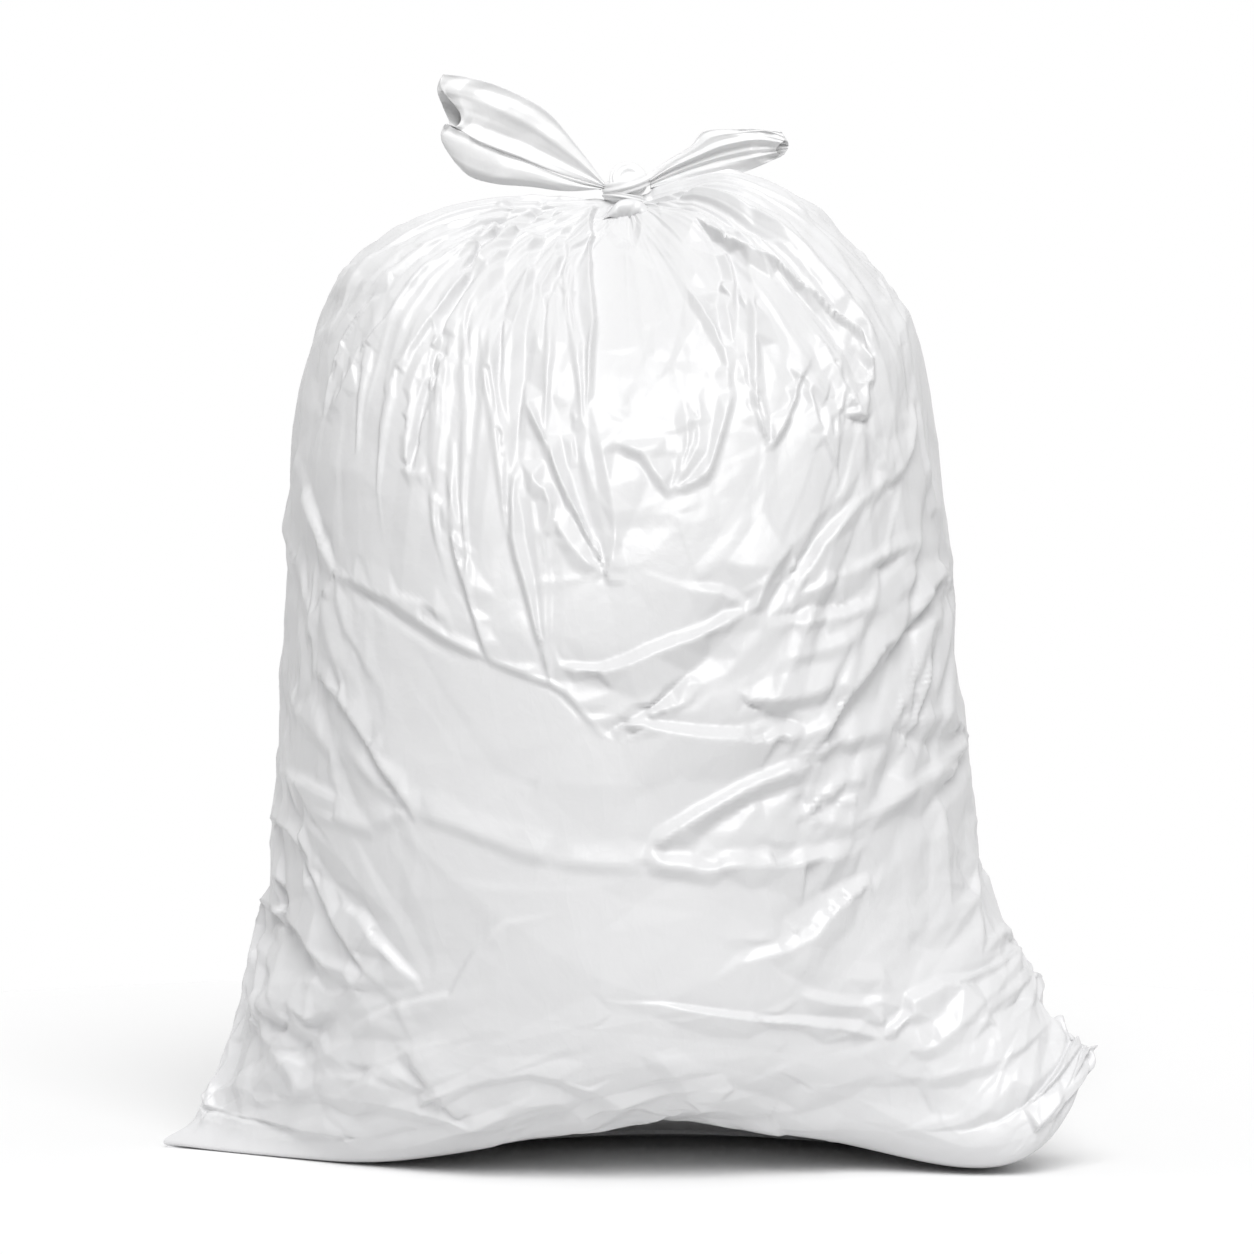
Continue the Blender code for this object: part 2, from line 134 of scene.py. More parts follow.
# Creases of the film, in millimetres as the view from the front shows them, from the middle and the floor.
# Each gives its form, its width at its start and its end, its height, and its route. A lap is steep on the
# right-hand side of its route, and a tongue is a raised or sunk strip.
FRONT_CREASES = [
    ("lap", 5, 5, 7, [(-22, 523), (-20, 561), (-19, 593), (-19, 635), (-18, 657)]),
    ("ridge", 5, 7, -9, [(-37, 658), (-72, 652), (-85, 638), (-96, 630), (-105, 606), (-118, 584),
                         (-125, 562)]),
    ("tongue", 11, 3, -13, [(-121, 566), (-128, 540), (-136, 516), (-145, 474)]),
    ("ridge", 3, 3, 3.5, [(-125, 564), (-136, 550), (-144, 526), (-148, 495), (-147, 479), (-144, 470),
                          (-132, 471)]),
    ("ridge", 4, 5, -7, [(-38, 660), (-55, 653), (-69, 642), (-75, 628), (-80, 617), (-78, 593),
                         (-81, 561), (-83, 524)]),
    ("ridge", 4, 4, -6, [(-41, 657), (-50, 642), (-53, 631), (-58, 614), (-59, 596), (-64, 572),
                         (-66, 537), (-71, 495), (-67, 471)]),
    ("ridge", 4, 4, -4, [(-31, 645), (-37, 624), (-47, 600), (-52, 572)]),
    ("ridge", 3, 4, 4.5, [(-41, 661), (-83, 658), (-118, 651), (-146, 638), (-173, 620), (-192, 603)]),
    ("ridge", 3, 4, 4, [(-47, 658), (-83, 650), (-125, 638), (-153, 624), (-178, 610), (-199, 589)]),
    ("ridge", 3, 4, 4, [(-52, 656), (-97, 642), (-136, 624), (-157, 607), (-188, 580), (-202, 558)]),
    ("ridge", 3, 5, 4.5, [(-62, 652), (-104, 628), (-132, 610), (-153, 586), (-174, 561), (-192, 530),
                          (-202, 512)]),
    ("ridge", 3, 5, 4.5, [(-69, 649), (-97, 620), (-118, 593), (-139, 565), (-153, 544), (-162, 523)]),
    ("lap", 6, 3, 5, [(-172, 589), (-192, 561), (-200, 537), (-207, 511)]),
    ("tongue", 12, 0, 6, [(-173, 558), (-180, 523), (-183, 485)]),
    ("tongue", 11, 0, 7, [(-155, 544), (-163, 502), (-168, 457)]),
    ("tongue", 13, 0, 6, [(-192, 558), (-201, 533), (-207, 510)]),
    ("tongue", 14, 2, 7, [(-121, 551), (-125, 502), (-128, 453), (-124, 420)]),
    ("lap", 6, 3, 6, [(-115, 474), (-113, 425), (-106, 397), (-99, 369), (-89, 340)]),
    ("tongue", 18, 0, 6, [(-93, 572), (-83, 502), (-78, 431)]),
    ("tongue", 12, 0, 6, [(-99, 593), (-104, 523), (-107, 453), (-103, 411)]),
    ("tongue", 14, 0, 7, [(-33, 621), (-29, 558), (-26, 509)]),
    ("tongue", 11, 0, 6, [(-47, 593), (-48, 551), (-52, 503)]),
    ("lap", 6, 3, 7, [(-64, 519), (-52, 495), (-41, 467), (-27, 439), (-13, 411), (-6, 394)]),
    ("ridge", 4, 3, 5, [(-67, 471), (-52, 460), (-41, 432), (-27, 414), (-13, 402)]),
    ("tongue", 22, 0, -7, [(-38, 516), (-31, 474), (-17, 425), (-10, 404)]),
    ("ridge", 4, 3, 4.5, [(-16, 502), (-6, 460), (-3, 425), (-8, 399)]),
    ("lap", 6, 4, 6, [(-72, 467), (-72, 425), (-64, 393), (-55, 355), (-47, 326)]),
    ("tongue", 14, 0, 5, [(-57, 453), (-52, 397), (-47, 327)]),
    ("ridge", 4, 3, 4, [(-132, 467), (-104, 411), (-97, 376)]),
    ("tongue", 10, 16, -13, [(22, 661), (43, 666), (62, 670)]),
    ("ridge", 4, 8, -8, [(29, 659), (57, 654), (74, 646), (95, 642), (104, 632)]),
    ("lap", 6, 12, 9, [(177, 534), (166, 565), (148, 579), (134, 593), (121, 603), (106, 615),
                       (88, 624), (71, 635), (54, 648)]),
    ("tongue", 10, 14, -7, [(109, 610), (137, 579), (158, 558), (174, 538)]),
    ("ridge", 5, 6, -7, [(61, 645), (67, 624), (72, 607), (67, 589), (72, 558)]),
    ("ridge", 5, 6, -7, [(72, 633), (80, 617), (83, 593), (80, 559)]),
    ("ridge", 3, 4, 5, [(47, 598), (60, 579), (72, 556), (76, 526)]),
    ("lap", 7, 5, 6, [(93, 591), (94, 565), (95, 530), (98, 505), (105, 490)]),
    ("lap", 5, 5, 6, [(105, 490), (113, 500), (120, 519), (125, 537), (129, 538)]),
    ("tongue", 20, 0, 6, [(85, 551), (95, 523), (104, 491)]),
    ("tongue", 24, 0, 6, [(50, 523), (50, 488), (36, 459)]),
    ("lap", 5, 5, 5, [(-2, 491), (15, 484), (25, 470), (36, 458)]),
    ("lap", 5, 5, 5, [(36, 458), (57, 468), (62, 471), (67, 488), (74, 509), (78, 524)]),
    ("ridge", 4, 4, 5, [(128, 537), (135, 516), (142, 495), (151, 472)]),
    ("tongue", 18, 0, 6, [(148, 523), (149, 495), (151, 472)]),
    ("ridge", 4, 4, 5, [(128, 537), (144, 523), (162, 510), (172, 507)]),
    ("ridge", 4, 4, 5, [(139, 565), (148, 547), (156, 530), (165, 514), (172, 510)]),
    ("ridge", 3, 3, 4, [(172, 510), (171, 533), (177, 535)]),
    ("ridge", 4, 6, -5, [(157, 509), (173, 506)]),
    ("lap", 6, 8, 6, [(176, 495), (188, 468), (200, 488), (204, 516)]),
    ("ridge", 3, 4, 4, [(188, 468), (169, 453), (141, 421), (120, 383)]),
    ("ridge", 3, 4, 3.5, [(57, 682), (99, 670), (134, 649), (169, 617), (200, 572)]),
    ("ridge", 3, 4, 3, [(85, 676), (127, 648), (162, 607), (183, 572), (197, 533)]),
    ("ridge", 3, 3, 3, [(99, 659), (127, 628), (158, 593), (176, 558)]),
    ("ridge", 3, 4, 3.5, [(120, 663), (162, 624), (190, 586), (205, 537)]),
    ("lap", 11, 8, 8, [(88, 373), (57, 358), (22, 343), (-13, 331), (-41, 335)]),
    ("lap", 5, 6, 4, [(88, 377), (71, 386), (50, 388)]),
    ("lap", 12, 8, 8, [(92, 372), (97, 384), (107, 404), (121, 421)]),
    ("ridge", 9, 12, -6, [(102, 374), (116, 397), (137, 421), (162, 453)]),
    ("ridge", 4, 5, 4, [(120, 383), (148, 397), (174, 407), (225, 421)]),
    ("ridge", 4, 5, 4, [(115, 364), (148, 369), (174, 377), (221, 411)]),
    ("ridge", 4, 6, -4, [(104, 372), (148, 379), (170, 383)]),
    ("ridge", 4, 5, 4, [(116, 341), (148, 348), (162, 355)]),
    ("lap", 4, 12, 7, [(89, 311), (120, 314), (153, 323)]),
    ("ridge", 4, 14, -7, [(88, 311), (106, 303), (127, 298)]),
    ("lap", 12, 9, 8, [(127, 287), (106, 286), (57, 287), (22, 292), (2, 293)]),
    ("ridge", 4, 12, -6, [(-8, 291), (22, 309), (50, 332), (72, 351)]),
    ("ridge", 3, 4, 4, [(-8, 291), (22, 302), (50, 313)]),
    ("lap", 4, 14, 9, [(129, 273), (162, 320), (190, 355), (214, 386), (228, 410)]),
    ("ridge", 3, 10, -6, [(129, 273), (169, 313), (200, 355), (221, 390)]),
    ("lap", 4, 12, 7, [(129, 273), (162, 285), (190, 294)]),
    ("lap", 9, 9, 8, [(131, 268), (99, 255), (71, 241), (43, 223), (22, 208)]),
    ("ridge", 9, 9, -5, [(131, 258), (99, 245), (71, 229), (50, 211)]),
    ("ridge", 3, 4, 5, [(191, 295), (204, 327), (218, 369), (230, 410)]),
    ("ridge", 3, 3, 4.5, [(195, 295), (211, 327), (223, 369), (232, 404)]),
    ("ridge", 3, 5, 4, [(191, 295), (218, 298), (247, 288)]),
    ("ridge", 3, 4, -4, [(191, 294), (218, 286), (244, 287)]),
    ("lap", 4, 10, 6, [(246, 288), (221, 264), (200, 248), (162, 227)]),
    ("ridge", 3, 6, -5, [(246, 286), (225, 250), (205, 220)]),
    ("lap", 3, 12, 6, [(124, 232), (148, 246), (169, 264)]),
    ("ridge", 3, 4, 4, [(169, 265), (163, 243), (160, 211)]),
    ("ridge", 5, 3, -5, [(132, 253), (124, 232)]),
    ("ridge", 4, 4, 3.5, [(124, 232), (148, 227), (158, 222)]),
    ("ridge", 3, 3, 4, [(218, 467), (225, 425), (233, 407)]),
    ("ridge", 3, 3, 4, [(207, 523), (212, 474), (225, 421)]),
    ("ridge", 3, 3, 3.5, [(233, 404), (228, 355), (218, 313)]),
    ("lap", 4, 10, 6, [(-199, 402), (-213, 439), (-221, 461)]),
    ("ridge", 3, 3, 4, [(-199, 402), (-211, 372), (-216, 355)]),
    ("lap", 4, 6, 4, [(-199, 402), (-160, 383), (-118, 355), (-89, 340), (-47, 325), (-29, 309),
                      (-13, 290)]),
    ("ridge", 3, 4, 3.5, [(-199, 402), (-174, 390), (-139, 379), (-118, 368)]),
    ("ridge", 3, 4, -3, [(-199, 400), (-153, 369), (-115, 344)]),
    ("ridge", 3, 4, 3, [(-198, 397), (-188, 362), (-164, 320)]),
    ("ridge", 3, 4, 3, [(-208, 382), (-195, 341), (-187, 313)]),
    ("lap", 2, 7, 6, [(-209, 331), (-192, 312), (-178, 290), (-164, 270), (-151, 250), (-139, 234)]),
    ("ridge", 3, 3, 4.5, [(-137, 234), (-111, 227), (-69, 209), (-47, 202)]),
    ("ridge", 3, 3, 4, [(-137, 234), (-150, 234), (-173, 223), (-195, 232), (-223, 240)]),
    ("ridge", 3, 3, 3.5, [(-185, 274), (-169, 259), (-152, 246)]),
    ("lap", 3, 7, 5, [(-197, 244), (-213, 253), (-237, 262)]),
    ("ridge", 3, 3, 4, [(-232, 309), (-216, 298), (-202, 278), (-199, 264)]),
    ("ridge", 3, 3, 4, [(-227, 313), (-209, 288), (-192, 274)]),
    ("ridge", 3, 4, 4, [(-223, 369), (-220, 348), (-222, 320), (-230, 309)]),
    ("ridge", 3, 3, 4, [(-228, 442), (-223, 411), (-213, 376)]),
    ("lap", 3, 4, 6, [(-244, 232), (-230, 222), (-215, 195), (-195, 159), (-174, 124)]),
    ("ridge", 3, 4, 5, [(-215, 195), (-218, 176)]),
    ("lap", 3, 12, 7, [(-246, 174), (-223, 155), (-202, 130), (-174, 123)]),
    ("ridge", 3, 5, -5, [(-246, 174), (-223, 141), (-202, 113)]),
    ("lap", 3, 9, 6, [(-141, 118), (-164, 141), (-180, 162), (-192, 173)]),
    ("ridge", 3, 4, 4, [(-174, 123), (-192, 106), (-208, 92)]),
    ("lap", 3, 5, 4, [(-78, 158), (-99, 138), (-115, 111), (-120, 107), (-153, 99), (-185, 82)]),
    ("ridge", 3, 4, 5, [(-260, 102), (-244, 82), (-230, 61), (-220, 43)]),
    ("ridge", 3, 4, 5, [(-260, 102), (-230, 94), (-208, 78), (-187, 57)]),
    ("ridge", 3, 3, 4, [(-250, 152), (-237, 120), (-208, 92)]),
    ("ridge", 3, 3, 4, [(-246, 174), (-250, 138), (-258, 103)]),
    ("lap", 3, 6, 7, [(-282, 43), (-269, 29), (-223, 13), (-188, 3), (-167, -3)]),
    ("ridge", 3, 8, -7, [(-278, 26), (-251, 18), (-223, 4), (-208, -8)]),
    ("ridge", 3, 4, 4, [(-282, 43), (-290, 26), (-295, 10)]),
    ("ridge", 2, 3, 4, [(-318, 4), (-295, 12), (-283, 24)]),
    ("ridge", 2, 4, 4, [(-307, 1), (-272, 5), (-223, -8)]),
    ("lap", 9, 3, 5, [(-146, 69), (-132, 47), (-111, 21)]),
    ("ridge", 3, 4, 4, [(-223, 40), (-174, 34), (-125, 22), (-83, 11)]),
    ("ridge", 3, 4, 3.5, [(-167, 64), (-139, 43), (-104, 26)]),
    ("ridge", 3, 4, 3.5, [(-101, 43), (-62, 52), (-20, 40), (22, 22)]),
    ("ridge", 3, 4, 3.5, [(-76, 24), (-41, 31), (1, 19)]),
    ("lap", 12, 12, 8, [(162, 204), (127, 200), (85, 197), (50, 196), (15, 200)]),
    ("ridge", 3, 4, 4, [(-47, 202), (-13, 199), (18, 199)]),
    ("lap", 6, 9, 6, [(173, 183), (158, 176), (144, 161), (134, 148), (113, 138), (85, 130)]),
    ("ridge", 8, 8, -4, [(176, 194), (155, 187), (127, 169), (106, 155)]),
    ("lap", 10, 3, 6, [(181, 77), (148, 85), (113, 90), (71, 95), (29, 101)]),
    ("lap", 9, 9, 7, [(253, 133), (225, 113), (204, 94), (181, 77)]),
    ("lap", 9, 8, 4, [(191, 101), (148, 102), (125, 108)]),
    ("ridge", 3, 4, 5, [(249, 222), (248, 173), (252, 132)]),
    ("ridge", 3, 4, 5, [(253, 132), (260, 103), (264, 85)]),
    ("ridge", 3, 4, 5, [(253, 132), (267, 148), (275, 155)]),
    ("ridge", 3, 4, 4, [(181, 77), (182, 103), (181, 131)]),
    ("ridge", 4, 10, -9, [(323, 61), (302, 47), (281, 27), (260, 4), (247, -15)]),
    ("lap", 4, 6, 7, [(326, 64), (310, 36), (291, 15), (275, -2), (270, -18)]),
    ("ridge", 3, 4, 4, [(204, 50), (239, 54), (267, 61), (302, 68)]),
    ("ridge", 3, 4, 4, [(211, 12), (246, 22), (277, 38)]),
    ("ridge", 3, 4, 4, [(200, 69), (225, 75), (256, 96), (274, 117)]),
    ("ridge", 3, 3, 4, [(269, 164), (281, 138), (288, 103)]),
    ("ridge", 3, 4, -4, [(106, 20), (120, 43), (127, 47)]),
    ("lap", 4, 4, 4, [(239, -15), (197, -4), (148, 4), (120, 11), (104, 24)]),
    ("ridge", 3, 4, 4, [(22, 18), (57, 29), (85, 15), (127, 5)]),
    ("ridge", 3, 4, 3, [(22, 68), (43, 47), (55, 26)]),
]

# Creases of the back, as the same view from behind shows them
BACK_CREASES = [
    ("tongue", 14, 0, 7, [(-60, 640), (-90, 570), (-85, 480)]),
    ("tongue", 16, 0, 7, [(-20, 640), (-35, 540), (-30, 430)]),
    ("tongue", 20, 0, 7, [(30, 640), (50, 540), (42, 410)]),
    ("tongue", 14, 0, 7, [(100, 620), (140, 540), (138, 455)]),
    ("tongue", 12, 0, 6, [(-140, 600), (-175, 540), (-172, 470)]),
    ("ridge", 5, 4, -7, [(-10, 650), (-5, 590), (-8, 500), (0, 430)]),
    ("ridge", 5, 4, -7, [(60, 640), (95, 580), (100, 500)]),
    ("ridge", 5, 4, -6, [(-45, 645), (-62, 590), (-60, 520)]),
    ("lap", 6, 10, 9, [(60, 640), (120, 600), (170, 540), (185, 470)]),
    ("lap", 10, 9, 8, [(150, 350), (80, 310), (0, 290), (-80, 280)]),
    ("lap", 9, 9, 7, [(190, 250), (120, 225), (40, 215), (-60, 230)]),
    ("lap", 6, 10, 7, [(-215, 330), (-150, 270), (-80, 280)]),
    ("lap", 8, 10, 7, [(80, 160), (0, 140), (-90, 145), (-150, 170)]),
    ("ridge", 4, 5, 6, [(-80, 280), (-60, 360), (-40, 430)]),
    ("ridge", 4, 5, 6, [(-80, 280), (-130, 360), (-170, 470)]),
    ("ridge", 4, 5, 6, [(150, 350), (180, 290), (190, 250)]),
    ("ridge", 4, 5, 6, [(150, 350), (145, 420), (138, 455)]),
    ("ridge", 4, 5, 5, [(40, 215), (70, 160), (80, 160)]),
    ("ridge", 4, 5, -6, [(-60, 230), (-100, 190), (-150, 170)]),
    ("lap", 5, 9, 7, [(240, 150), (200, 110), (150, 90)]),
    ("lap", 5, 9, 7, [(-280, 90), (-220, 110), (-160, 100)]),
    ("ridge", 4, 5, 6, [(-290, 60), (-230, 60), (-170, 50)]),
    ("ridge", 4, 5, 6, [(250, 60), (200, 60), (130, 40)]),
    ("ridge", 4, 6, -7, [(280, 30), (230, 40), (180, 20)]),
    ("lap", 8, 8, 6, [(100, 90), (30, 70), (-60, 75)]),
]

# Facets of the crumpled film between the creases: spacing, stretch, turn in degrees, height, and where they
# lie, each a centre and a reach, all lengths in thousandths of the neck's height
FACETS = [
    Facets(128, 1.5, 25, 4.5, []),
    Facets(50, 4.0, -50, 8.0, [((270, -180, 540), (113, 210, 195)), ((-180, 255, 510), (195, 150, 255))]),
    Facets(36, 2.2, 48, 11.0, [((-375, -75, 240), (130, 255, 240)), ((300, 180, 450), (150, 180, 240))]),
    Facets(41, 2.6, -20, 7.5, [((420, -90, 180), (135, 270, 180)), ((-75, 285, 180), (240, 150, 150))]),
    Facets(30, 4.5, 84, 3.6, [((-375, -30, 630), (75, 300, 225))]),
    Facets(21, 2.4, 8, 2.0, [((38, -285, 780), (75, 135, 120))]),
    Facets(45, 1.7, -35, 1.8, []),
    Facets(30, 2.2, -24, 8.0, [((-350, -120, 110), (150, 255, 105)), ((0, -255, 60), (330, 150, 50))]),
]
# Where the film is most crumpled, and where it lies smooth
CROWDED = [
    ((315, -150, 540), (135, 240, 255)),
    ((-375, -60, 240), (135, 255, 255)),
    ((405, -120, 180), (180, 270, 195)),
    ((-375, 0, 600), (90, 300, 270)),
    ((-180, 285, 510), (180, 150, 225)),
    ((300, 210, 420), (150, 180, 240)),
    ((-30, 285, 150), (300, 150, 120)),
]
CALM = [
    ((-120, -300, 360), (180, 180, 165)),
    ((0, -300, 180), (180, 180, 120)),
    ((0, 0, 875), (450, 450, 195)),
    ((60, -225, 875), (90, 180, 150)),
]

# Rays of each ear from the knot to its mouth, from its lower to its upper edge, in the same millimetres
LEFT_EAR = [
    [(-18, 672), (-41, 671), (-65, 674), (-89, 676), (-107, 681), (-118, 691)],
    [(-17, 672), (-38, 675), (-62, 681), (-86, 686), (-110, 695), (-127, 706)],
    [(-15, 673), (-41, 680), (-67, 690), (-91, 699), (-113, 711), (-125, 717)],
    [(-14, 674), (-46, 684), (-75, 696), (-99, 705), (-113, 713), (-122, 719)],
    [(-14, 675), (-42, 691), (-69, 706), (-93, 717), (-111, 725), (-127, 731)],
    [(-14, 676), (-37, 697), (-62, 717), (-86, 730), (-110, 739), (-130, 743)],
    [(-14, 678), (-33, 703), (-53, 726), (-75, 739), (-102, 749), (-126, 753)],
]
RIGHT_EAR = [
    [(20, 672), (36, 675), (55, 680), (71, 683), (82, 684), (96, 689), (111, 696)],
    [(20, 674), (36, 680), (55, 686), (71, 690), (84, 693), (100, 697), (114, 700)],
    [(18, 677), (35, 686), (54, 694), (70, 700), (87, 704), (101, 705), (115, 704)],
    [(16, 679), (33, 690), (50, 699), (64, 707), (84, 711), (100, 712), (113, 708)],
    [(13, 681), (31, 693), (46, 702), (56, 713), (74, 714), (92, 714), (109, 713)],
]
# The film that rises over the knot: its edge from left to right in the same millimetres, how far it lies in
# front of the middle, the height of its foot on the bag, the degrees that it spans and its grid
FLAP_EDGE = [(-24, 646), (-14, 652), (-4, 663.5), (8, 665), (17, 659), (25, 649)]
FLAP_FRONT, FLAP_FOOT = -0.0190, 0.655
FLAP_FROM, FLAP_TO = 226, 312
FLAP_ROWS, FLAP_COLUMNS = 16, 41


def stations():
    """Rings from the neck to the seal, as (reach, height) on each side of the axis.

    point is how sharply the ring ends at its corners, from 1, an ellipse, to 2, a wedge.
    corner is how fast its height leaves that of the corner, going round from it.
    """
    neck, waist, belly = NECK_HEIGHT, WAIST_HEIGHT, BELLY_HEIGHT
    far_left, low = LEFT_CORNER_REACH, LEFT_CORNER_HEIGHT
    far_right, high = RIGHT_CORNER_REACH, RIGHT_CORNER_HEIGHT
    sides = left, right, front, back = BELLY_LEFT, BELLY_RIGHT, BELLY_FRONT, BELLY_BACK
    rings = [
        Station(*[(NECK_RADIUS * 0.7, neck * 1.009)] * 4, 1.0, 2),
        Station((NECK_RADIUS, neck), (NECK_RADIUS, neck * 1.005),
                (NECK_RADIUS, neck * 0.992), (NECK_RADIUS, neck), 1.0, 2),
    ]
    for ring in SHOULDERS:
        places = [(side * reach, neck * (1 - drop)) for side, (reach, drop) in zip(sides, ring)]
        rings.append(Station(*places, 1.0, 2))
    return rings + [
        Station((CHEST_LEFT, neck * 0.736), (CHEST_RIGHT, neck * 0.736),
                (front * 0.937, neck * 0.533), (back * 0.966, neck * 0.560), 1.0, 2),
        Station((CHEST_LEFT * 1.026, waist), (CHEST_RIGHT * 1.074, waist),
                (front * 0.976, waist * 0.778), (back * 0.981, waist * 0.795), 1.02, 2),
        Station((left, belly), (right, belly), (front, belly * 0.796), (back, belly * 0.812), 1.08, 2),
        Station((left * 1.020, belly * 0.718), (right * 1.049, belly * 0.718),
                (front, belly * 0.549), (back * 0.995, belly * 0.565), 1.2, 2),
        Station((left * 1.073, belly * 0.455), (right * 1.139, belly * 0.533),
                (front * 0.981, belly * 0.337), (back * 0.961, belly * 0.353), 1.40, 3),
        Station((left * 1.163, belly * 0.204), (far_right * 0.927, high * 1.338),
                (front * 0.927, belly * 0.157), (back * 0.883, belly * 0.173), 1.65, 6),
        Station((far_left * 0.932, belly * 0.082), (far_right, high * 1.05),
                (front * 0.796, belly * 0.039), (back * 0.748, belly * 0.047), 1.8, 9),
        Station((far_left, low), (far_right, high * 0.85),
                (front * 0.587, 0.0), (back * 0.563, 0.0), 1.85, 12),
        Station((far_left * 0.994, low * 0.167), (far_right * 0.968, high * 0.687),
                (0.0, 0.0), (0.0, 0.0), 1.85, 14),
    ]


def spline(values, places):
    """Catmull-Rom curve through evenly numbered values, read at the given places."""
    values = np.asarray(values, float)
    last = len(values) - 1
    start = np.clip(np.floor(places).astype(int), 0, last - 1)
    t = (places - start)[:, None]
    before, after = np.clip(start - 1, 0, last), np.clip(start + 2, 0, last)
    a, b, c, d = values[before], values[start], values[start + 1], values[after]
    return 0.5 * (2 * b + (c - a) * t + (2 * a - 5 * b + 4 * c - d) * t**2 + (3 * b - a - 3 * c + d) * t**3)


def smooth(value, low, high):
    """0 below low, 1 above high and an even S between them."""
    t = np.clip((value - low) / (high - low), 0.0, 1.0)
    return t * t * (3 - 2 * t)


def blurred(values, share=0.5):
    """A grid of values, each drawn towards its four neighbours."""
    beside = sum(np.roll(values, turn, axis=axis) for axis in (0, 1) for turn in (-1, 1))
    return share * values + (1 - share) / 4 * beside


def base_lift(x, y, z):
    """How far the hollow under the front edge raises a point of the base."""
    across = np.clip((x - ARCH_CENTRE) / ARCH_HALF_SPAN, -1, 1)
    span = np.cos(across * math.pi / 2) ** 2
    depth = smooth(-y, -ARCH_BACK, -ARCH_FRONT)
    fade = 1 - smooth(z, 0.0, ARCH_FADE)
    return ARCH_HEIGHT * span * depth * fade


def plain_body(around, along):
    """Points of the body without its gathers, for angles around and places along the stations."""
    made = stations()
    last = len(made) - 1
    left, right, front, back = (spline([getattr(ring, side) for ring in made], along * last)[:, None, :]
                                for side in ("left", "right", "front", "back"))
    point, corner = spline([(s.point, s.corner) for s in made], along * last).T[:, :, None]
    c, s = np.cos(around)[None, :], np.sin(around)[None, :]
    side, face = np.where(c[..., None] < 0, left, right), np.where(s[..., None] < 0, front, back)
    x = side[..., 0] * c
    pinch = 1 + (point - 1) * np.where(c < 0, LEFT_CORNER_PINCH, 1.0)
    wedge = SEAL_ROUNDING * np.abs(s) + (1 - SEAL_ROUNDING) * np.abs(s) ** pinch
    y = face[..., 0] * np.sign(s) * wedge
    sideways = np.abs(c) ** corner
    z = side[..., 1] * sideways + face[..., 1] * (1 - sideways)
    low = 1 - smooth(z, BELLY_HEIGHT * 0.196, BELLY_HEIGHT * 0.941)
    y = y - RIGHT_CORNER_FORWARD * smooth(x, CORNER_SWING_START, RIGHT_CORNER_REACH) * low
    return np.stack([x, y, z + base_lift(x, y, z)], axis=-1)


def normals_of(points):
    """Outward unit normals of a grid of points that closes round its columns."""
    across = np.roll(points, -1, axis=1) - np.roll(points, 1, axis=1)
    down = np.gradient(points, axis=0)
    out = np.cross(down, across)
    return out / np.maximum(np.linalg.norm(out, axis=-1, keepdims=True), 1e-9)


def film_grid(fine):
    """Angles, lengths down the film and points of the plain body, on the finished or the settling grid."""
    step = 1 if fine else FINER
    around = np.linspace(0, 2 * math.pi, FINER * COLUMNS, endpoint=False)[::step]
    along = np.linspace(0, 1, FINER * (ROWS - 1) + 1)[::step]
    points = plain_body(around, along)
    down = np.concatenate([[0], np.linalg.norm(np.diff(points, axis=0), axis=-1).mean(axis=1).cumsum()])
    return around, down, points


def seen_from(points, side):
    """Where the view from the front, or the same view from behind, shows points on the middle plane."""
    turned = points if side == "front" else points * np.array([-1.0, -1.0, 1.0])
    pitch = math.radians(EYE_PITCH)
    ahead = np.array([0.0, math.cos(pitch), -math.sin(pitch)])
    up = np.array([0.0, math.sin(pitch), math.cos(pitch)])
    eye = np.array(EYE) - np.array([SHIFT[0], SHIFT[1], 0.0])
    away = abs(eye[1])
    offset = turned - eye
    depth = offset @ ahead
    ground = away * (-eye @ up) / (-eye @ ahead)
    return np.stack([away * offset[..., 0] / depth + eye[0], away * (offset @ up) / depth - ground], axis=-1)


def on_sheet(around, down, points, side, spots):
    """Places on the unrolled sheet that the view from one side shows at the given spots."""
    facing = points[..., 1] < 0.02 if side == "front" else points[..., 1] > -0.02
    rows, columns = np.nonzero(facing)
    seen = seen_from(points[facing], side)
    nearest = [np.argmin(((seen - spot) ** 2).sum(axis=1)) for spot in spots]
    turn = np.unwrap(around[columns[nearest]])
    return np.stack([turn * UNROLLED_RADIUS, down[rows[nearest]]], axis=-1)


def crease_lines(crease, route, chance):
    """The lines of one crease on the flat sheet: the points of each, their heights and if it is sharp."""
    form, first, last, height, _ = crease
    path = spline(route, np.linspace(0, len(route) - 1, 2 * (len(route) - 1) + 1))
    run = np.linspace(0, 1, len(path))
    width = MM * np.maximum(first + (last - first) * run, 1.5)
    leg = np.gradient(path, axis=0)
    leg /= np.maximum(np.linalg.norm(leg, axis=1, keepdims=True), 1e-9)
    right = np.stack([-leg[:, 1], leg[:, 0]], axis=1)
    tall = MM * height * smooth(run, -0.10, 0.14) * (1 - smooth(run, 0.84, 1.10))
    steep = 1.0
    if form == "ridge":
        form = "thin ridge" if abs(height) < BROAD_FROM else "broad ridge"
        width = width + 3 * MM
        steep = 1.0 if route[-1][0] >= route[0][0] else -1.0
    lines = [] if form == "tongue" else [(path, tall, True)]
    for share, low, jitter, sharp in SIDE_LINES[form]:
        loose = 1 + chance.uniform(-jitter, jitter, len(path))
        lines.append((path + right * (width * (share * steep) * loose)[:, None], tall * low, sharp))
    return lines


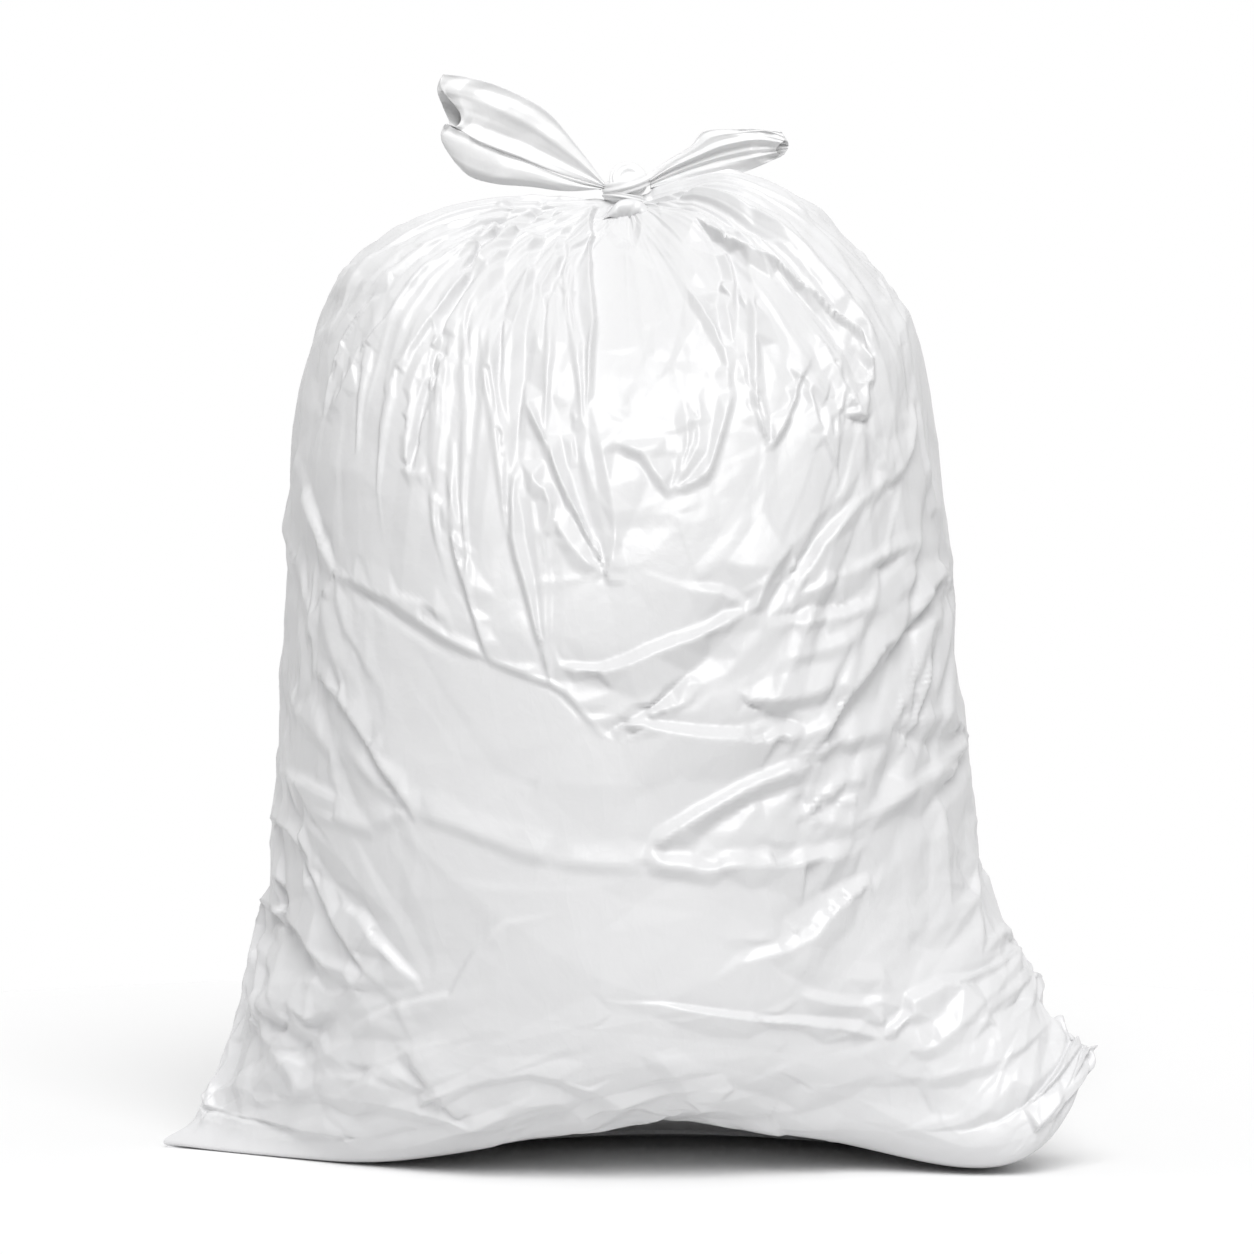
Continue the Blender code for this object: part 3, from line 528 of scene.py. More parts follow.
def crease_net(around, down, points, sizes):
    """The relief of the placed creases: each is a sharp edge, and flat facets run from one to the next."""
    chance = np.random.default_rng(21)
    girth = 2 * math.pi * UNROLLED_RADIUS
    spots, heights, edges = [], [], []

    def add(line, tall, sharp):
        for turn in (-girth, 0.0, girth):
            moved = line + [turn, 0.0]
            if moved[:, 0].max() < -OVERLAP or moved[:, 0].min() > girth + OVERLAP:
                continue
            first = len(spots)
            spots.extend(moved.tolist())
            heights.extend(tall.tolist())
            if sharp:
                edges.extend((first + k, first + k + 1) for k in range(len(moved) - 1))

    for side, creases in (("front", FRONT_CREASES), ("back", BACK_CREASES)):
        for crease in creases:
            target = np.array(crease[4]) * MM - np.array([SHIFT[0], 0.0])
            route = on_sheet(around, down, points, side, target)
            for line in crease_lines(crease, route, chance):
                add(*line)
    crests, crest_heights = np.array(spots), np.array(heights)
    kept = []
    for spot in chance.uniform((0.0, 0.0), (girth, SHEET_LENGTH), (CORNER_TRIES, 2)):
        row = min(np.searchsorted(down, spot[1]), len(down) - 1)
        column = int(spot[0] / girth * len(around)) % len(around)
        crowd = float(blobs(points[row, column], CROWDED))
        calm = float(blobs(points[row, column], CALM))
        space = CORNER_SPACE - CROWD_LESS * crowd
        gap = np.hypot(*(crests - spot).T)
        others = np.array(kept) if kept else np.zeros((1, 2)) - 9
        if gap.min() > CREASE_CLEAR * space and np.hypot(*(others - spot).T).min() > space:
            kept.append(spot)
            near = np.exp(-0.5 * (gap / CREASE_CARRY) ** 2)
            level = CREASE_KEPT * (near @ crest_heights) / (near.sum() + CREASE_FADE)
            vary = CORNER_RISE * (1 - calm) + CROWD_RISE * crowd
            add(spot[None], np.array([level + chance.normal(0, 1) * vary]), False)
    spots = np.array(spots)
    heights = np.clip(np.array(heights) * sizes.crease_scale, -TALLEST, TALLEST)
    return rastered(around, down, spots, heights, edges, spots)


def rastered(around, down, spots, heights, edges, shape):
    """Heights over the sheet that run flat from spot to spot, joined as their shape is triangulated."""
    made = geometry.delaunay_2d_cdt([Vector(spot) for spot in shape], edges, [], 0, 1e-5)
    found, corners, origin = made[0], made[2], made[3]
    places, levels = [], []
    for spot, source in zip(found, origin):
        if source:
            places.append(spots[source[0]])
            levels.append(heights[source[0]])
            continue
        gap = np.hypot(*(shape - np.array(spot)).T)
        near = np.argsort(gap)[:4]
        places.append(np.array(spot) * spots[near[0]] / shape[near[0]])
        levels.append(float(np.average(heights[near], weights=1 / (gap[near] + 0.001))))
    relief = np.zeros((len(down), len(around)))
    step = 2 * math.pi * UNROLLED_RADIUS / len(around)
    for triangle in corners:
        a, b, c = (places[k] for k in triangle)
        area = (b[0] - a[0]) * (c[1] - a[1]) - (c[0] - a[0]) * (b[1] - a[1])
        first = max(int(math.ceil(min(a[0], b[0], c[0]) / step)), 0)
        past = min(int(math.floor(max(a[0], b[0], c[0]) / step)) + 1, len(around))
        top, bottom = np.searchsorted(down, [min(a[1], b[1], c[1]), max(a[1], b[1], c[1])])
        if past <= first or bottom <= top or abs(area) < 1e-10:
            continue
        x, y = np.meshgrid(np.arange(first, past) * step, down[top:bottom])
        second = ((x - a[0]) * (c[1] - a[1]) - (c[0] - a[0]) * (y - a[1])) / area
        third = ((b[0] - a[0]) * (y - a[1]) - (x - a[0]) * (b[1] - a[1])) / area
        inside = (second >= -1e-9) & (third >= -1e-9) & (second + third <= 1 + 1e-9)
        la, lb, lc = (levels[k] for k in triangle)
        value = la + second * (lb - la) + third * (lc - la)
        relief[top:bottom, first:past][inside] = value[inside]
    return blurred(relief, 0.72)


def gathers(around, down, count, depth, reach, seed):
    """Depth of the pleats that leave the neck, less where one smooth panel lies at the front."""
    chance = np.random.default_rng(seed)
    total = np.zeros((len(down), len(around)))
    spacing = 2 * math.pi / count
    for number in range(count):
        centre = (number + chance.uniform(-0.35, 0.35)) * spacing
        half = spacing * chance.uniform(0.35, 0.8)
        height = depth * chance.uniform(0.4, 1.3)
        end = reach * chance.uniform(0.45, 1.15)
        bend = chance.uniform(-0.4, 0.4) * spacing
        run = np.clip(down / end, 0, 1)[:, None]
        offset = (around[None, :] - centre - bend * run + math.pi) % (2 * math.pi) - math.pi
        across = np.clip(np.abs(offset) / (half * (1 - 0.4 * run)), 0, 1)
        rise = smooth(down, 0.0, 0.100)[:, None] * (1 - run) ** 0.6
        total += height * rise * (1 - across)
    front = (around[None, :] - math.radians(PANEL_MIDDLE) + math.pi) % (2 * math.pi) - math.pi
    panel = 1 - smooth(np.abs(front), math.radians(PANEL_SIDE), math.radians(PANEL_END))
    return total * (1 - 0.9 * panel)


def facet_relief(around, down, facets, seed):
    """A relief of flat facets with sharp edges, as crumpled film has."""
    chance = np.random.default_rng(seed)
    girth, spacing = 2 * math.pi * UNROLLED_RADIUS, facets.spacing * MARK
    amount = int(girth * SHEET_LENGTH / spacing**2)
    spots = chance.uniform((0.0, -spacing), (girth, SHEET_LENGTH), (amount, 2))
    heights = chance.uniform(-1, 1, amount) * facets.height * MARK
    margin = spacing * facets.stretch * 3
    low, high = spots[:, 0] < margin, spots[:, 0] > girth - margin
    spots = np.concatenate([spots, spots[low] + [girth, 0], spots[high] - [girth, 0]])
    heights = np.concatenate([heights, heights[low], heights[high]])
    turn = math.radians(facets.turn)
    along, across = np.array([math.cos(turn), math.sin(turn)]), np.array([-math.sin(turn), math.cos(turn)])
    squeezed = np.stack([spots @ along / facets.stretch, spots @ across], axis=1)
    return rastered(around, down, spots, heights, [], squeezed)


def blobs(points, places):
    """How strongly each point lies in any of the places, each a centre and its reach along x, y and z."""
    if not places:
        return np.ones(points.shape[:-1])
    total = np.zeros(points.shape[:-1])
    for centre, reach in places:
        total += np.exp(-((((points / MARK - np.array(centre)) / np.array(reach)) ** 2).sum(axis=-1)))
    return np.clip(total, 0, 1)


def film_depth(around, down, points, sizes):
    """How far the gathers, creases and facets move each point of the sheet."""
    depth = gathers(around, down, sizes.gather_count, sizes.gather_depth, GATHER_REACH, 7)
    short = int(sizes.gather_count * 2.1)
    depth += gathers(around, down, short, sizes.gather_depth * 0.5, SHORT_GATHER_REACH, 8)
    depth += crease_net(around, down, points, sizes)
    for number, facets in enumerate(FACETS):
        relief = facet_relief(around, down, facets, 40 + number)
        depth += relief * blobs(points, facets.places) * sizes.crumple_scale
    low = smooth(points[..., 2], 0.0, 0.045)
    seam = 1 - smooth(np.linspace(0, 1, len(down)), 0.88, 0.96)
    neck = smooth(down, 0.0, 0.02)
    return depth * low * (seam * neck)[:, None]


def new_piece(name, spots, edges, faces):
    """An object in the scene made of plain points, edges and faces."""
    mesh = bpy.data.meshes.new(name)
    mesh.from_pydata(spots, edges, faces)
    mesh.update()
    piece = bpy.data.objects.new(name, mesh)
    bpy.context.scene.collection.objects.link(piece)
    return piece


def sheet_mesh(name, grid):
    """A closed mesh over a grid of rings, capped at the neck and pressed shut at the seal."""
    rows, columns = grid.shape[:2]
    ids = np.arange(rows * columns).reshape(rows, columns)
    half = columns // 2
    for k in range(half + 1, columns):
        ids[-1, k] = ids[-1, columns - k]
    count = (rows - 1) * columns + half + 1
    neck = count
    spots = np.concatenate([grid.reshape(-1, 3)[:count], grid[0].mean(axis=0)[None]])
    following = np.roll(ids, -1, axis=1)
    quads = np.stack([ids[:-1], ids[1:], following[1:], following[:-1]], axis=-1).reshape(-1, 4).tolist()
    cap = [[neck, int(ids[0, k]), int(following[0, k])] for k in range(columns)]
    return new_piece(name, spots.tolist(), [], quads + cap), ids


def finer(grid):
    """The grid at full density, on smooth curves through its points."""
    rows, columns = grid.shape[:2]
    length = FINER * (rows - 1) + 1
    tall = spline(grid.reshape(rows, -1), np.linspace(0, rows - 1, length)).reshape(length, columns, -1)
    wrapped = np.concatenate([tall[:, -2:], tall, tall[:, :3]], axis=1).transpose(1, 0, 2)
    places = 2 + np.arange(FINER * columns) / FINER
    whole = spline(wrapped.reshape(len(wrapped), -1), places)
    return whole.reshape(FINER * columns, length, -1).transpose(1, 0, 2)


def settled(name, grid, sizes):
    """The sheet after its film has swelled and slackened for a few frames, held at the neck and the base."""
    piece, ids = sheet_mesh(name, grid)
    rows, columns = grid.shape[:2]
    height = grid[..., 2]
    along = np.linspace(0, 1, rows)[:, None] * np.ones((1, columns))
    hold = np.maximum(1 - smooth(along, 0.02, 0.12), 1 - smooth(height, 0.006, 0.05))
    hold = np.maximum(hold, sizes.form_hold)
    group = piece.vertex_groups.new(name="hold")
    for index, weight in zip(ids.reshape(-1).tolist(), hold.reshape(-1).tolist()):
        group.add([index], weight, "REPLACE")
    group.add([len(piece.data.vertices) - 1], 1.0, "REPLACE")
    cloth = piece.modifiers.new("film", "CLOTH")
    film = cloth.settings
    for key, value in CLOTH.items():
        setattr(film, key, value)
    film.uniform_pressure_force = sizes.film_pressure
    film.shrink_min = -sizes.film_growth
    film.vertex_group_mass = group.name
    film.effector_weights.gravity = 0.0
    scene = bpy.context.scene
    for number in range(1, sizes.film_frames + 1):
        scene.frame_set(number)
    made = piece.evaluated_get(bpy.context.evaluated_depsgraph_get())
    spots = np.zeros(len(made.data.vertices) * 3)
    made.data.vertices.foreach_get("co", spots)
    spots = spots.reshape(-1, 3)
    scene.frame_set(1)
    mesh = piece.data
    bpy.data.objects.remove(piece)
    bpy.data.meshes.remove(mesh)
    change = spots[ids] - grid
    for _ in range(EVENED):
        change = blurred(change)
    far = np.linalg.norm(change, axis=-1, keepdims=True)
    return grid + change * np.minimum(1, sizes.film_cap / np.maximum(far, 1e-9))


class Value:
    """A number in a material that Python's operators work on."""

    def __init__(self, shader, socket):
        self.shader, self.socket = shader, socket

    def _maths(self, operation, first, second):
        return self.shader.value("ShaderNodeMath", {"operation": operation}, {0: first, 1: second})

    def __add__(self, other):
        return self._maths("ADD", self, other)

    def __sub__(self, other):
        return self._maths("SUBTRACT", self, other)

    def __rsub__(self, other):
        return self._maths("SUBTRACT", other, self)

    def __mul__(self, other):
        return self._maths("MULTIPLY", self, other)

    __radd__, __rmul__ = __add__, __mul__


class Shader:
    """A material and the short ways to add and join its nodes."""

    def __init__(self, name, tree=None):
        if tree is None:
            self.material = bpy.data.materials.new(name)
            self.material.use_nodes = True
            tree = self.material.node_tree
        self.tree = tree
        self.tree.nodes.clear()

    def node(self, kind, settings=None, inputs=None):
        """One node, with its settings put in first and then the values or links of its sockets."""
        made = self.tree.nodes.new(kind)
        for key, value in (settings or {}).items():
            if key == "stops":
                ramp = made.color_ramp.elements
                while len(ramp) < len(value):
                    ramp.new(1.0)
                for element, (place, colour) in zip(ramp, value):
                    element.position, element.color = place, colour
            else:
                setattr(made, key, value)
        for key, value in (inputs or {}).items():
            if isinstance(value, Value):
                value = value.socket
            if isinstance(value, bpy.types.NodeSocket):
                self.tree.links.new(value, made.inputs[key])
            else:
                made.inputs[key].default_value = value
        return made

    def value(self, kind, settings=None, inputs=None):
        """The first output of a new node, as a number that takes operators."""
        return Value(self, self.node(kind, settings, inputs).outputs[0])


def film_material(name, shaded, lighter, crinkle):
    """White film with painted shade, a little darker low down, a tone that varies at random, and fine
    flat-sided crinkles in its gloss.
    """
    shader = Shader(name)
    place = shader.node("ShaderNodeTexCoord").outputs["Object"]
    drift = shader.node("ShaderNodeTexNoise", {"noise_dimensions": "3D"},
                        {"Vector": place, "Scale": 9.0, "Detail": 2.0})
    bent = shader.node("ShaderNodeVectorMath", {"operation": "MULTIPLY_ADD"},
                       {0: drift.outputs["Color"], 1: (0.05, 0.05, 0.05), 2: place}).outputs[0]
    sloped = shader.node("ShaderNodeMapping", {},
                         {"Vector": bent, "Rotation": (0.3, 0.5, 0.2), "Scale": (1.0, 1.0, 0.45)})
    panes = shader.value("ShaderNodeTexVoronoi", {"distance": "CHEBYCHEV"},
                         {"Vector": sloped.outputs[0], "Scale": 38.0, "Randomness": 1.0})
    small = shader.value("ShaderNodeTexVoronoi", {"distance": "CHEBYCHEV"}, {"Vector": bent, "Scale": 110.0})
    sheet = shader.value("ShaderNodeTexNoise", {},
                         {"Vector": place, "Scale": 5.0, "Detail": 3.0, "Roughness": 0.6})
    relief = panes + small * 0.22
    bump = shader.node("ShaderNodeBump", {}, {"Strength": 1.0, "Distance": crinkle, "Height": relief})
    # Painted shade: the colour darkens towards the bottom of the piece by its height, with random tone from
    # the noise on top
    high = Value(shader, shader.node("ShaderNodeSeparateXYZ", {}, {"Vector": place}).outputs["Z"])
    shade_and_tone = shader.node("ShaderNodeValToRGB", {"stops": [(0.2, (*shaded, 1)), (0.8, (*lighter, 1))]},
                       {"Fac": high * 1.1 + sheet * 0.5 - 0.1})
    gloss = 0.42 - sheet * 0.14
    film = shader.node("ShaderNodeBsdfPrincipled", {}, {"Base Color": shade_and_tone.outputs[0], "Roughness": gloss,
                                                        "Normal": bump.outputs[0], "IOR": 1.5,
                                                        "Coat Weight": 0.12, "Coat Roughness": 0.16})
    shader.node("ShaderNodeOutputMaterial", {}, {"Surface": film.outputs[0]})
    return shader.material


def link_piece(piece, material):
    """Gives a piece its film, shades it smooth, hangs it under the bag's body and hides the frame's own
    part.
    """
    piece.data.materials.clear()
    piece.data.materials.append(material)
    for polygon in piece.data.polygons:
        polygon.use_smooth = True
    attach(piece, BODY)
    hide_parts(NODE)


def ear_layers(rays, bulge, gap, seed, front_cut):
    """Front and back sheets of an ear, a fan of rays from the knot that is pleated lengthways."""
    table = np.array(rays, dtype=float) * MM
    lengthwise = np.stack([spline(ray, np.linspace(0, len(ray) - 1, EAR_STEPS)) for ray in table])
    fan = np.linspace(0, len(table) - 1, EAR_STEPS)
    flat = spline(lengthwise.reshape(len(table), -1), fan)
    flat = flat.reshape(EAR_STEPS, EAR_STEPS, 2).transpose(1, 0, 2)
    run, side = np.meshgrid(np.linspace(0, 1, EAR_STEPS), np.linspace(0, 1, EAR_STEPS), indexing="ij")
    chance = np.random.default_rng(seed)
    belly = bulge(side) * smooth(run, 0.0, 0.45)
    sheets = []
    for back in (False, True):
        nodes = np.linspace(0, 1.1, 19)
        pleats = [np.interp(side + 0.08 * run, nodes, chance.uniform(-1, 1, 19)) for _ in range(3)]
        pleat = pleats[0] * (1 - run) * 0.0018 + (pleats[1] * run + pleats[2] * np.sin(np.pi * run)) * 0.0022
        bends = chance.uniform(-1, 1, 15)
        crumple = np.interp(run + 0.35 * side, np.linspace(0, 1.35, 15), bends) * 0.0022
        edge = np.clip(np.minimum(side, 1 - side) / 0.10, 0, 1)
        spread = (gap * (0.2 + 0.8 * run) + 0.002) * np.sin(np.pi * side) ** 0.7
        depth = belly + (pleat + crumple * run) * edge + (spread if back else -0.25 * spread)
        sheets.append(np.stack([flat[..., 0], depth, flat[..., 1]], axis=-1))
    if front_cut:
        middle, half, amount = front_cut
        pull = amount * np.exp(-(((side - middle) / half) ** 2)) * smooth(run, 0.55, 1.0)
        inward = sheets[0][[int(EAR_STEPS * 0.6)]] - sheets[0][[-1]]
        sheets[0] = sheets[0] + inward * pull[..., None] / 0.4 * np.array([1.0, 0.0, 1.0])
    return sheets


def ear_mesh(name, sheets, root):
    """An open tube of film from two sheets that share their edges, drawn together at the knot."""
    front, back = sheets
    ring = np.concatenate([front, back[:, -2:0:-1]], axis=1)
    pull = 1 - smooth(np.linspace(0, 1, len(ring)), 0.0, 0.12)[:, None, None]
    ring = ring * (1 - pull) + (np.array(root) + (ring - np.array(root)) * 0.75) * pull
    rows, columns = ring.shape[:2]
    ids = np.arange(rows * columns).reshape(rows, columns)
    following = np.roll(ids, -1, axis=1)
    quads = np.stack([ids[:-1], following[:-1], following[1:], ids[1:]], axis=-1).reshape(-1, 4).tolist()
    piece = new_piece(name, (ring.reshape(-1, 3) + np.array([SHIFT[0], 0.0, 0.0])).tolist(), [], quads)
    bm = bmesh.new()
    bm.from_mesh(piece.data)
    bmesh.ops.recalc_face_normals(bm, faces=bm.faces)
    bm.to_mesh(piece.data)
    bm.free()
    return thickened(piece)


def thickened(piece):
    """The piece with the thickness of its film."""
    thick = piece.modifiers.new("film", "SOLIDIFY")
    thick.thickness = FILM_THICKNESS
    thick.offset = -1.0
    return baked(piece)


def baked(piece):
    """The piece with its modifiers worked into a plain mesh."""
    made = bpy.data.meshes.new_from_object(piece.evaluated_get(bpy.context.evaluated_depsgraph_get()))
    piece.modifiers.clear()
    old = piece.data
    piece.data = made
    made.name = piece.name
    bpy.data.meshes.remove(old)
    return piece


def swept_group():
    """Geometry Nodes that sweep a pleated flat tube of film along a line of edges."""
    group = bpy.data.node_groups.new("pleated_band", "GeometryNodeTree")
    face = group.interface
    face.new_socket("Geometry", in_out="INPUT", socket_type="NodeSocketGeometry")
    for name, kind in (("Width", "Float"), ("Thickness", "Float"), ("Pleats", "Int"),
                       ("Pleat Depth", "Float"), ("Steps", "Int"), ("Film", "Material")):
        face.new_socket(name, in_out="INPUT", socket_type="NodeSocket" + kind)
    face.new_socket("Geometry", in_out="OUTPUT", socket_type="NodeSocketGeometry")
    nodes, links = group.nodes, group.links

    def node(kind, inputs, **settings):
        made = nodes.new(kind)
        for key, value in settings.items():
            setattr(made, key, value)
        for key, value in inputs.items():
            if isinstance(value, bpy.types.NodeSocket):
                links.new(value, made.inputs[key])
            else:
                made.inputs[key].default_value = value
        return made

    given = nodes.new("NodeGroupInput").outputs
    line = node("GeometryNodeMeshToCurve", {"Mesh": given["Geometry"]}).outputs[0]
    line = node("GeometryNodeResampleCurve", {"Curve": line, "Count": given["Steps"]}).outputs[0]
    ring = node("GeometryNodeCurvePrimitiveCircle", {"Resolution": 56, "Radius": 1.0}, mode="RADIUS")
    ring = ring.outputs[0]
    factor = node("GeometryNodeSplineParameter", {}).outputs["Factor"]
    wave = node("ShaderNodeMath", {0: factor, 1: given["Pleats"]}, operation="MULTIPLY").outputs[0]
    wave = node("ShaderNodeMath", {0: wave, 1: 0.5}, operation="PINGPONG").outputs[0]
    deep = given["Pleat Depth"]
    wave = node("ShaderNodeMath", {0: wave, 1: deep, 2: 1.0}, operation="MULTIPLY_ADD").outputs[0]
    spot = node("GeometryNodeInputPosition", {}).outputs[0]
    spot = node("ShaderNodeVectorMath", {0: spot, "Scale": wave}, operation="SCALE").outputs[0]
    flat = node("ShaderNodeCombineXYZ", {"X": given["Width"], "Y": given["Thickness"], "Z": 1.0}).outputs[0]
    spot = node("ShaderNodeVectorMath", {0: spot, 1: flat}, operation="MULTIPLY").outputs[0]
    ring = node("GeometryNodeSetPosition", {"Geometry": ring, "Position": spot}).outputs[0]
    swept = node("GeometryNodeCurveToMesh", {"Curve": line, "Profile Curve": ring, "Fill Caps": True})
    swept = node("GeometryNodeRealizeInstances", {"Geometry": swept.outputs[0]})
    swept = node("GeometryNodeSetMaterial", {"Geometry": swept.outputs[0], "Material": given["Film"]})
    links.new(swept.outputs[0], nodes.new("NodeGroupOutput").inputs[0])
    return group


def swept_piece(name, spots, closed, material, **values):
    """One band of film along the given points."""
    group = bpy.data.node_groups.get("pleated_band") or swept_group()
    last = len(spots)
    edges = [(k, (k + 1) % last) for k in range(last if closed else last - 1)]
    piece = new_piece(name, [tuple(spot) for spot in spots], edges, [])
    modifier = piece.modifiers.new("band", "NODES")
    modifier.node_group = group
    sockets = {item.name: item.identifier for item in group.interface.items_tree if item.in_out == "INPUT"}
    for key, value in values.items():
        modifier[sockets[key.replace("_", " ").title()]] = value
    modifier[sockets["Film"]] = material
    bpy.context.view_layer.update()
    return baked(piece)


def flap_mesh(name):
    """The upper end of the front panel, which rises out of the bag and leans over the knot."""
    around, _, points = film_grid(False)
    table = np.array(FLAP_EDGE) * MM
    edge = spline(table, np.linspace(0, len(table) - 1, FLAP_COLUMNS))
    turns = np.linspace(FLAP_FROM, FLAP_TO, FLAP_COLUMNS)
    columns = np.round(turns / 360 * len(around)).astype(int)
    rows = [int((points[:, column, 2] < FLAP_FOOT).argmax()) for column in columns]
    base = points[rows, columns] + np.array([SHIFT[0], SHIFT[1], -0.002])
    top = np.stack([edge[:, 0] + SHIFT[0], np.full(FLAP_COLUMNS, FLAP_FRONT), edge[:, 1]], axis=1)
    rise = np.linspace(0, 1, FLAP_ROWS)[:, None, None]
    wave = np.sin(np.linspace(0, 1, FLAP_COLUMNS) * 5 * math.pi)[None, :, None] * rise * 0.0008
    lean = (wave - 0.003 * np.sin(np.pi * rise)) * np.array([0.0, 1.0, 0.0])
    sheet = base * (1 - rise) + top * rise + lean
    ids = np.arange(FLAP_ROWS * FLAP_COLUMNS).reshape(FLAP_ROWS, FLAP_COLUMNS)
    quads = np.stack([ids[:-1, :-1], ids[:-1, 1:], ids[1:, 1:], ids[1:, :-1]], axis=-1)
    quads = quads.reshape(-1, 4).tolist()
    return thickened(new_piece(name, sheet.reshape(-1, 3).tolist(), [], quads))


def wrap_path(centre, radii, tilt, turn, count=40):
    """A tilted loop round the neck."""
    spots = []
    for k in range(count):
        angle = 2 * math.pi * k / count
        spot = Vector((radii[0] * math.cos(angle), radii[1] * math.sin(angle), 0.0))
        spot.rotate(Euler((math.radians(tilt), math.radians(turn), 0.0)))
        spots.append(Vector(centre) + spot)
    return spots


class FilmSettings(bpy.types.PropertyGroup):
    """Sizes of the film body and its folds"""

    gather_count: IntProperty(name="Gathers", description="Pleats that leave the neck", default=44, min=8,
                              max=90)
    gather_depth: FloatProperty(name="Gather depth", description="How far a pleat stands out",
                                default=0.0055, unit="LENGTH", min=0.0, max=0.02)
    crease_scale: FloatProperty(name="Creases", description="Strength of the placed creases",
                                default=0.85, subtype="FACTOR", min=0.0, max=2.0)
    crumple_scale: FloatProperty(name="Crumple", description="Strength of the facets between creases",
                                 default=1.0, subtype="FACTOR", min=0.0, max=2.0)
    film_growth: FloatProperty(name="Slack", description="Spare length in the film while it settles",
                               default=0.008, subtype="FACTOR", min=0.0, max=0.2)
    film_pressure: FloatProperty(name="Fill pressure",
                                 description="How hard the contents push the film out", default=1.0)
    form_hold: FloatProperty(name="Form hold", description="How firmly the film keeps its laid form",
                             default=0.10, subtype="FACTOR", min=0.0, max=1.0)
    film_cap: FloatProperty(name="Largest move", description="How far settling may move the film",
                            default=0.010, unit="LENGTH")
    film_frames: IntProperty(name="Settling frames", description="Frames that the film settles for",
                             default=16, min=1)


class ColourSettings(bpy.types.PropertyGroup):
    """Colours of the film and the stage"""

    # The film's own white: the colour of the upper body, and the darker end of the ears' painted light
    film_white: FloatVectorProperty(name="Film, tight", description="Film drawn tight over the contents",
                                    subtype="COLOR", default=(0.75, 0.75, 0.755), min=0.0, max=1.0)
    # Painted shade: the film's white darkened, which the body, the flap and the seal take on low down
    film_painted_shade: FloatVectorProperty(name="Film, slack", description="Film that stands off the contents",
                                    subtype="COLOR", default=(0.66, 0.66, 0.667), min=0.0, max=1.0)
    # Painted light: the film's white made lighter for the ears and the knot, standing in for light that
    # shines through the single film
    loose: FloatVectorProperty(name="Film, loose",
                               description="Single film of the ears, which light shines through",
                               subtype="COLOR", default=(0.86, 0.86, 0.862), min=0.0, max=1.0)
    floor: FloatVectorProperty(name="Floor", description="Pale studio floor", subtype="COLOR",
                               default=(0.91, 0.91, 0.91), min=0.0, max=1.0)


class StageSettings(bpy.types.PropertyGroup):
    """Light and camera"""

    sky_level: FloatProperty(name="Room light", description="Even light from all round", default=0.42,
                             min=0.0)
    floor_reach: FloatProperty(name="Floor reach", description="Radius of the pale floor", default=1.1,
                               unit="LENGTH")
    sun_level: FloatProperty(name="Overhead light", description="Broad soft light from above the front",
                             default=2.3, min=0.0)
    sun_tilt: FloatProperty(name="Light tilt", description="How far that light leans to the front",
                            default=math.radians(43), subtype="ANGLE")
    sun_turn: FloatProperty(name="Light turn", description="How far that light is turned to one side",
                            default=math.radians(6), subtype="ANGLE")
    sun_spread: FloatProperty(name="Light spread", description="How soft that light is",
                              default=math.radians(40), subtype="ANGLE")
    lens: FloatProperty(name="Lens", description="Focal length of the camera", default=164.0,
                        unit="CAMERA")


class EarSettings(bpy.types.PropertyGroup):
    """The two ears of the knot"""

    left_gap: FloatProperty(name="Left opening",
                            description="Space between the layers at the mouth of the left ear",
                            default=0.013, unit="LENGTH", min=0.0, max=0.05)
    right_gap: FloatProperty(name="Right opening", description="The same at the right ear", default=0.011,
                             unit="LENGTH", min=0.0, max=0.05)


class KnotSettings(bpy.types.PropertyGroup):
    """The knot and the bands of film wrapped round the neck"""

    pleats: IntProperty(name="Pleats", description="Folds along each wrapped band", default=9, min=1,
                        max=40)
    band: FloatProperty(name="Band", description="Half the width of a wrapped band", default=0.0078,
                        unit="LENGTH")


class SealSettings(bpy.types.PropertyGroup):
    """The welded seal along the bottom of the sack"""

    width: FloatProperty(name="Seal width", description="Half the width of the welded strip",
                         default=0.004, unit="LENGTH")


class BinBagSettings(bpy.types.PropertyGroup):
    """All settings of the bin bag"""

    film: PointerProperty(type=FilmSettings)
    colours: PointerProperty(type=ColourSettings)
    ears: PointerProperty(type=EarSettings)
    knot: PointerProperty(type=KnotSettings)
    seal: PointerProperty(type=SealSettings)
    stage: PointerProperty(type=StageSettings)


class BINBAG_OT_film(bpy.types.Operator):
    """Makes the body of the bag from one crumpled sheet of film"""

    bl_idname = "binbag.film"
    bl_label = "Film body"

    def execute(self, context):
        settings = context.scene.bin_bag
        colours = settings.colours
        around, down, points = film_grid(True)
        depth = film_depth(around, down, points, settings.film)
        shaped = points + normals_of(points) * depth[..., None]
        # The film settles as a coarse sheet with the broad forms only, and the sharp ones are laid on it
        broad = depth
        for _ in range(SOFTENED):
            broad = blurred(broad)
        laid = points[::FINER, ::FINER]
        coarse = laid + normals_of(laid) * broad[::FINER, ::FINER, None]
        rest = finer(settled("film_settling", coarse, settings.film))
        sharp = depth - finer(broad[::FINER, ::FINER, None])[..., 0]
        shaped = rest + normals_of(points) * (sharp * smooth(rest[..., 2], 0.0, 0.02))[..., None]
        shaped[0], shaped[-1] = points[0], points[-1]
        shaped[..., 2] = np.maximum(shaped[..., 2], 0.0)
        shaped = shaped + np.array([SHIFT[0], SHIFT[1], 0.0])
        piece, _ = sheet_mesh("film_body", shaped)
        # Painted shade: the body's film is a little darker low down
        link_piece(piece, film_material("white_film", colours.film_painted_shade, colours.film_white, 0.0008))
        return {"FINISHED"}


